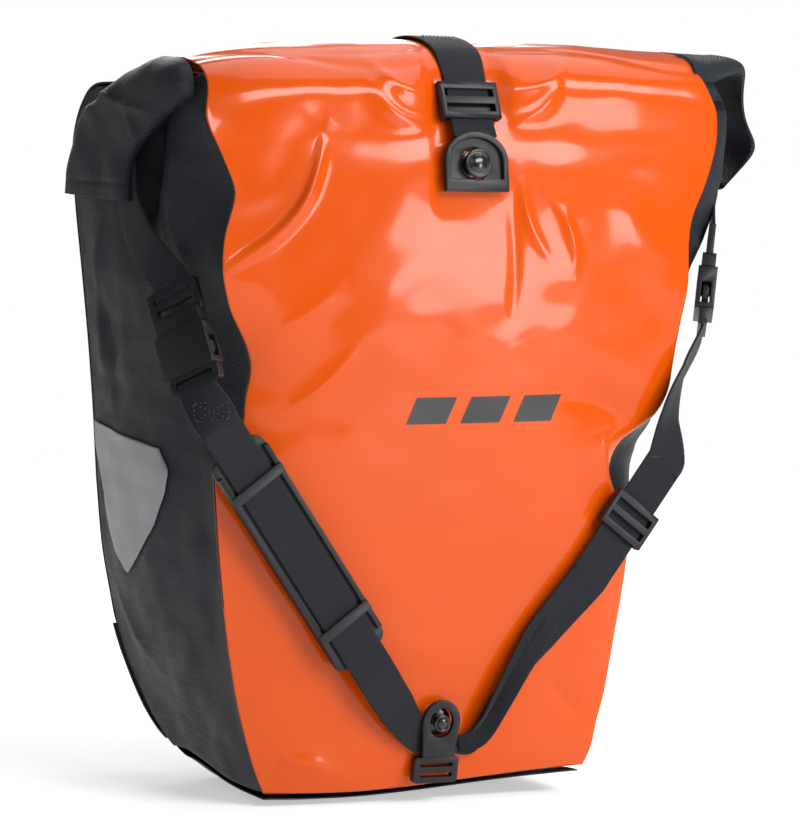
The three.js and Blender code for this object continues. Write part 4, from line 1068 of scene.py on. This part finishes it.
strap("right_folded_edge", [
    ((66, -96.2, 104), (-0.3, -1, 0), 8), ((50, -95.2, 82), (-0.5, -0.9, 0), 12),
    ((35, -92.4, 56), (-0.7, -0.7, 0), 13), ((25, -88.4, 38), (-0.4, -0.9, 0), 12), under_catch(14, 9),
], None, "bag")


def pull_strap(width=27, ridges=8):
    """The pull strap stands in ridges where it doubles back on itself."""
    top = Vector(along_slider(9))
    low = Vector((0, -101.8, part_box("closure_catch")[1].z / MM - 3))
    out = Vector((0, -1, 0.4)).normalized()
    points = [(top, SLIDER_OUT, width)]
    for i in range(1, 2 * ridges):
        t = i / (2 * ridges)
        swell = (0.7 if i % 2 else -0.2) - 0.44 * math.sin(math.pi * t)
        points.append((top.lerp(low, t) + out * swell, (0, -1, 0.35), width))
    points.append((low, (0, -1, 0.2), width))
    strap("pull_strap", points, "closure_pull_strap", "closure_pull", steps=5)


def handle_webbing(width=20):
    """The carry handle's arch, half given as (x, height over its feet) and then mirrored."""
    low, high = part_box("carry_handle")
    y, foot = (low.y + high.y) / 2 / MM, low.z / MM
    arch = [(108, 1.6), (107.4, 6.3), (99, 14.3), (80, 18.8), (40, 21.3), (0, 22.3)]
    places = [(-x, rise) for x, rise in arch] + arch[-2::-1]
    points = []
    for x, rise in places:
        out = (math.copysign(1, x), 0, 0.1) if rise < 7 else (x / 160, 0, 1)
        points.append(((x, y, foot + rise), out, width))
    strap("handle_webbing", points, "carry_handle", "handle", thickness=2.2 * MM)


pull_strap()
handle_webbing()


# ---- stitching and the printed mark --------------------------------------------------------------
def box_stitch(name, body, middle, along, normal, width, length):
    """A rectangle of stitches with a cross in it, round a middle; all in millimetres."""
    along, normal = Vector(along).normalized(), Vector(normal).normalized()
    across = along.cross(normal).normalized() * width * MM
    along = along * length * MM
    corner = Vector(middle) * MM - across / 2 - along / 2
    corners = [corner, corner + across, corner + across + along, corner + along]
    lines = [(corners[i], corners[(i + 1) % 4]) for i in range(4)]
    lines += [(corners[0], corners[2]), (corners[1], corners[3])]
    stitch_rows(name, body, [place for start, end in lines for place in stitched_line(start, end, normal)])


def printed_bars(bar=25, gap=9, height=15, slant=6, middle=14, level=226):
    """Three slanted bars of black ink, printed on the front round a middle and a level."""
    first = middle - (3 * bar + 2 * gap) / 2
    rows, columns = 7, 14
    for k in range(3):
        points = np.zeros((rows, columns, 3))
        for i, v in enumerate(np.linspace(0, 1, rows)):
            for j, u in enumerate(np.linspace(0, 1, columns)):
                x = first + k * (bar + gap) + u * bar + slant * (v - 0.5)
                z = level + height * (v - 0.5) + 0.02 * (x - middle)
                points[i, j] = on_front(x, z, 0.12 * MM)
        name = f"printed_bar_{k + 1}"
        link(name, grid_mesh(name, points, cloth_uv(points)), INK, "bag")


printed_bars()
CREST = over_roll(112, 3.6)
box_stitch("closure_stitches", "bag", CREST[0], (0, -ROLL_HEIGHT, -ROLL_DEPTH * 0.1), CREST[1], 22, 9)
box_stitch("left_strap_stitches", "bag", (-155.7, -98.6, 225.4), (0.1, -0.1, -1), (-0.5, -0.87, 0), 19, 10)


# ---- floor, light and camera ---------------------------------------------------------------------
def studio():
    """A pale floor under a white sky, which lights less than the camera sees."""
    finish = Finish("floor", (0.74, 0.74, 0.74), 0.75)
    spot = finish.place("Object")
    finish.vary_roughness(0.7, 0.8, finish.noise(spot, 3, 2))
    finish.set(Emission_Color=(1, 1, 1, 1), Emission_Strength=0.48)
    mesh = bpy.data.meshes.new("floor")
    size = 1.6                 # half its width
    corners = [(-size, -size, 0), (size, -size, 0), (size, size, 0), (-size, size, 0)]
    mesh.from_pydata(corners, [], [(0, 1, 2, 3)])
    mesh.materials.append(finish.material)
    floor = bpy.data.objects.new("floor", mesh)
    bpy.context.scene.collection.objects.link(floor)
    world = bpy.data.worlds.new("studio")
    world.use_nodes = True
    nodes, links = world.node_tree.nodes, world.node_tree.links
    seen, lit = nodes["Background"], nodes.new("ShaderNodeBackground")
    seen.inputs["Color"].default_value = (1, 1, 1, 1)
    seen.inputs["Strength"].default_value = 1.0
    lit.inputs["Color"].default_value = (0.97, 0.98, 1, 1)
    lit.inputs["Strength"].default_value = 0.22
    rays, mix = nodes.new("ShaderNodeLightPath"), nodes.new("ShaderNodeMixShader")
    links.new(rays.outputs["Is Camera Ray"], mix.inputs["Fac"])
    links.new(lit.outputs["Background"], mix.inputs[1])
    links.new(seen.outputs["Background"], mix.inputs[2])
    links.new(mix.outputs["Shader"], nodes["World Output"].inputs["Surface"])
    bpy.context.scene.world = world


def softbox(name, place, aim, width, height, power):
    """A rectangular lamp at a place, aimed at another; power in watts."""
    light = bpy.data.lights.new(name, "AREA")
    light.shape = "RECTANGLE"
    light.size, light.size_y = width, height
    light.energy = power
    lamp = bpy.data.objects.new(name, light)
    lamp.location = place
    lamp.rotation_euler = (Vector(aim) - Vector(place)).to_track_quat("-Z", "Y").to_euler()
    bpy.context.scene.collection.objects.link(lamp)


def camera():
    """A long lens from the front left, a little above the bag and slightly tilted."""
    azimuth, elevation = math.radians(-28.0), math.radians(4.8)
    distance, roll = 2.89, math.radians(2.28)
    target = Vector((0, 0, 0.215))
    back = Vector((math.sin(azimuth) * math.cos(elevation), -math.cos(azimuth) * math.cos(elevation),
                   math.sin(elevation)))
    data = bpy.data.cameras.new("camera")
    data.sensor_width = 36
    data.lens = 214.3
    data.shift_x, data.shift_y = 0.0257, -0.009
    view = bpy.data.objects.new("camera", data)
    turn = (-back).to_track_quat("-Z", "Y").to_matrix() @ Matrix.Rotation(roll, 3, "Z")
    view.matrix_world = Matrix.Translation(target + back * distance) @ turn.to_4x4()
    bpy.context.scene.collection.objects.link(view)
    bpy.context.scene.camera = view


studio()
softbox("shoulder", (0.65, -1.5, 1.25), (0, -0.1, 0.35), 1.5, 0.5, 32)
softbox("centre", (0.82, -1.45, 0.33), (0, -0.1, 0.3), 0.42, 0.5, 8)
softbox("left", (-1.2, -2.0, 1.4), (0, 0, 0.2), 1.0, 1.2, 4)
softbox("top", (0.4, 0.1, 1.7), (0, 0, 0.35), 1.6, 1.2, 14)
softbox("rear", (0.6, 2.0, 1.2), (0, 0, 0.2), 1.2, 1.0, 16)
camera()
bpy.context.scene.view_settings.view_transform = "Standard"
